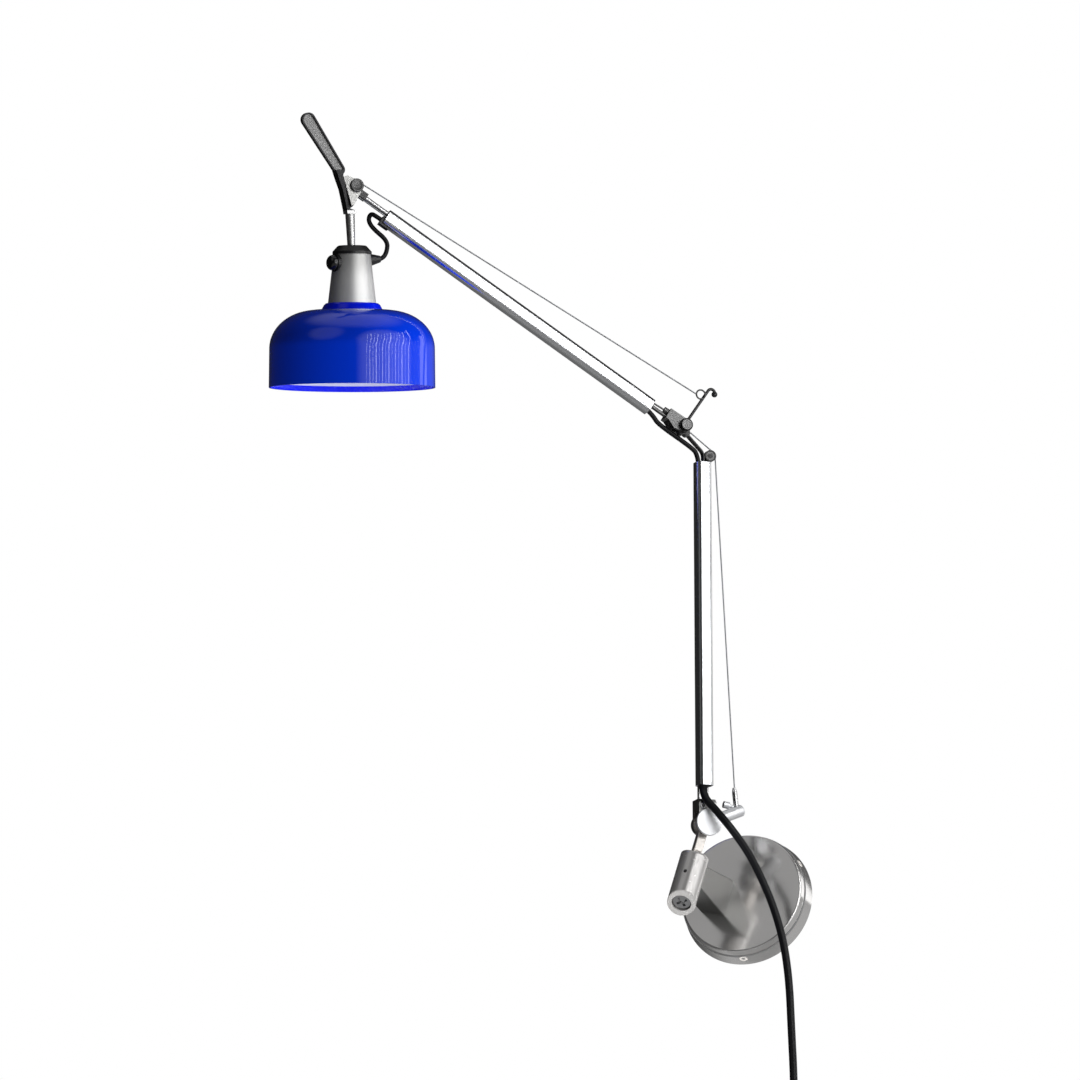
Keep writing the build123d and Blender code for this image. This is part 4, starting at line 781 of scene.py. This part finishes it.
# Bright areas of the studio: the way to each, the angles in degrees at which it is full and at which
# it ends, and its strength. The dark between them gives the polished metal its black edges.
DARK = 0.02
BRIGHT = (
    ((0.90, -0.42, -0.04), 30, 44, 0.84),
    ((0.985, -0.10, -0.05), 16, 28, 1.0),
    ((-0.27, -0.86, 0.43), 12, 27, 0.36),
    ((0.32, 0.66, -0.62), 44, 74, 0.37),
    ((0.0, -0.35, -0.93), 25, 50, 0.36),
    ((0.1, -0.2, 0.97), 18, 40, 0.50),
)


def make_world():
    """White to the camera and through glass; otherwise a dark room with soft bright areas."""
    world = bpy.data.worlds.new("studio")
    bpy.context.scene.world = world
    world.use_nodes = True
    n = Nodes(world.node_tree)
    back = world.node_tree.nodes["Background"]
    coord = n.add("ShaderNodeTexCoord")
    total = None
    for axis, inner, outer, strength in BRIGHT:
        dot = n.add("ShaderNodeVectorMath", operation="DOT_PRODUCT")
        n.link(coord.outputs["Generated"], dot.inputs[0])
        dot.inputs[1].default_value = Vector(axis).normalized()
        fade = n.add("ShaderNodeMapRange", interpolation_type="SMOOTHSTEP")
        fade.inputs["From Min"].default_value = math.cos(math.radians(outer))
        fade.inputs["From Max"].default_value = math.cos(math.radians(inner))
        fade.inputs["To Min"].default_value = DARK
        fade.inputs["To Max"].default_value = strength
        n.link(dot.outputs["Value"], fade.inputs["Value"])
        if total is None:
            total = fade.outputs["Result"]
        else:
            both = n.add("ShaderNodeMath", operation="MAXIMUM")
            n.link(total, both.inputs[0])
            n.link(fade.outputs["Result"], both.inputs[1])
            total = both.outputs[0]
    light = n.add("ShaderNodeLightPath")
    seen = n.add("ShaderNodeMath", operation="MAXIMUM")
    n.link(light.outputs["Is Camera Ray"], seen.inputs[0])
    n.link(light.outputs["Is Transmission Ray"], seen.inputs[1])
    choice = n.add("ShaderNodeMix", data_type="FLOAT")
    n.link(seen.outputs[0], choice.inputs[0])
    n.link(total, choice.inputs[2])
    choice.inputs[3].default_value = 1.0
    n.link(choice.outputs[0], back.inputs["Strength"])
    back.inputs["Color"].default_value = (1, 1, 1, 1)


SHADE_AT = Vector((-0.246, -0.36, 0.455))
STRIPS = 14
STRIP_WIDTHS = (0.010, 0.022, 0.014, 0.032)


def around_shade(angle, distance, lift=0.0):
    """Place at an angle to the right of the camera, seen from the shade."""
    a = math.radians(angle)
    return SHADE_AT + (VIEW_BACK * math.cos(a) + VIEW_RIGHT * math.sin(a)) * distance + VIEW_UP * lift


def make_studio():
    """Floor, world, camera and lamps. The narrow strips are the streaks in the shade's lacquer."""
    make_floor()
    make_world()
    make_camera()
    for i in range(STRIPS):
        angle = 2 * math.degrees(math.asin(0.19 + 0.04 * i))
        width = STRIP_WIDTHS[i % len(STRIP_WIDTHS)]
        area_light("strip_%d" % i, around_shade(angle, 1.9, 0.5), SHADE_AT, (width, 1.8), 46 * width)
    area_light("edge", around_shade(100, 2.2, 0.1), SHADE_AT, (0.9, 1.3), 60, False)
    area_light("side", around_shade(118, 2.0, 0.1), SHADE_AT, (0.6, 1.2), 2.6)
    area_light("front", around_shade(40, 2.4, 0.6), SHADE_AT, (0.9, 1.3), 11, False)
    area_light("top", SHADE_AT + Vector((0.2, -0.5, 1.9)), SHADE_AT, (0.5, 0.3), 3, False)
    area_light("under", SHADE_AT - VIEW_UP * 1.7 + VIEW_BACK * 0.5, SHADE_AT, (1.2, 0.9), 42, False)


dress_nodes()
make_canopy()
make_leads()
make_head_lead()
make_cables()
make_studio()

bpy.context.scene.view_settings.view_transform = "Standard"
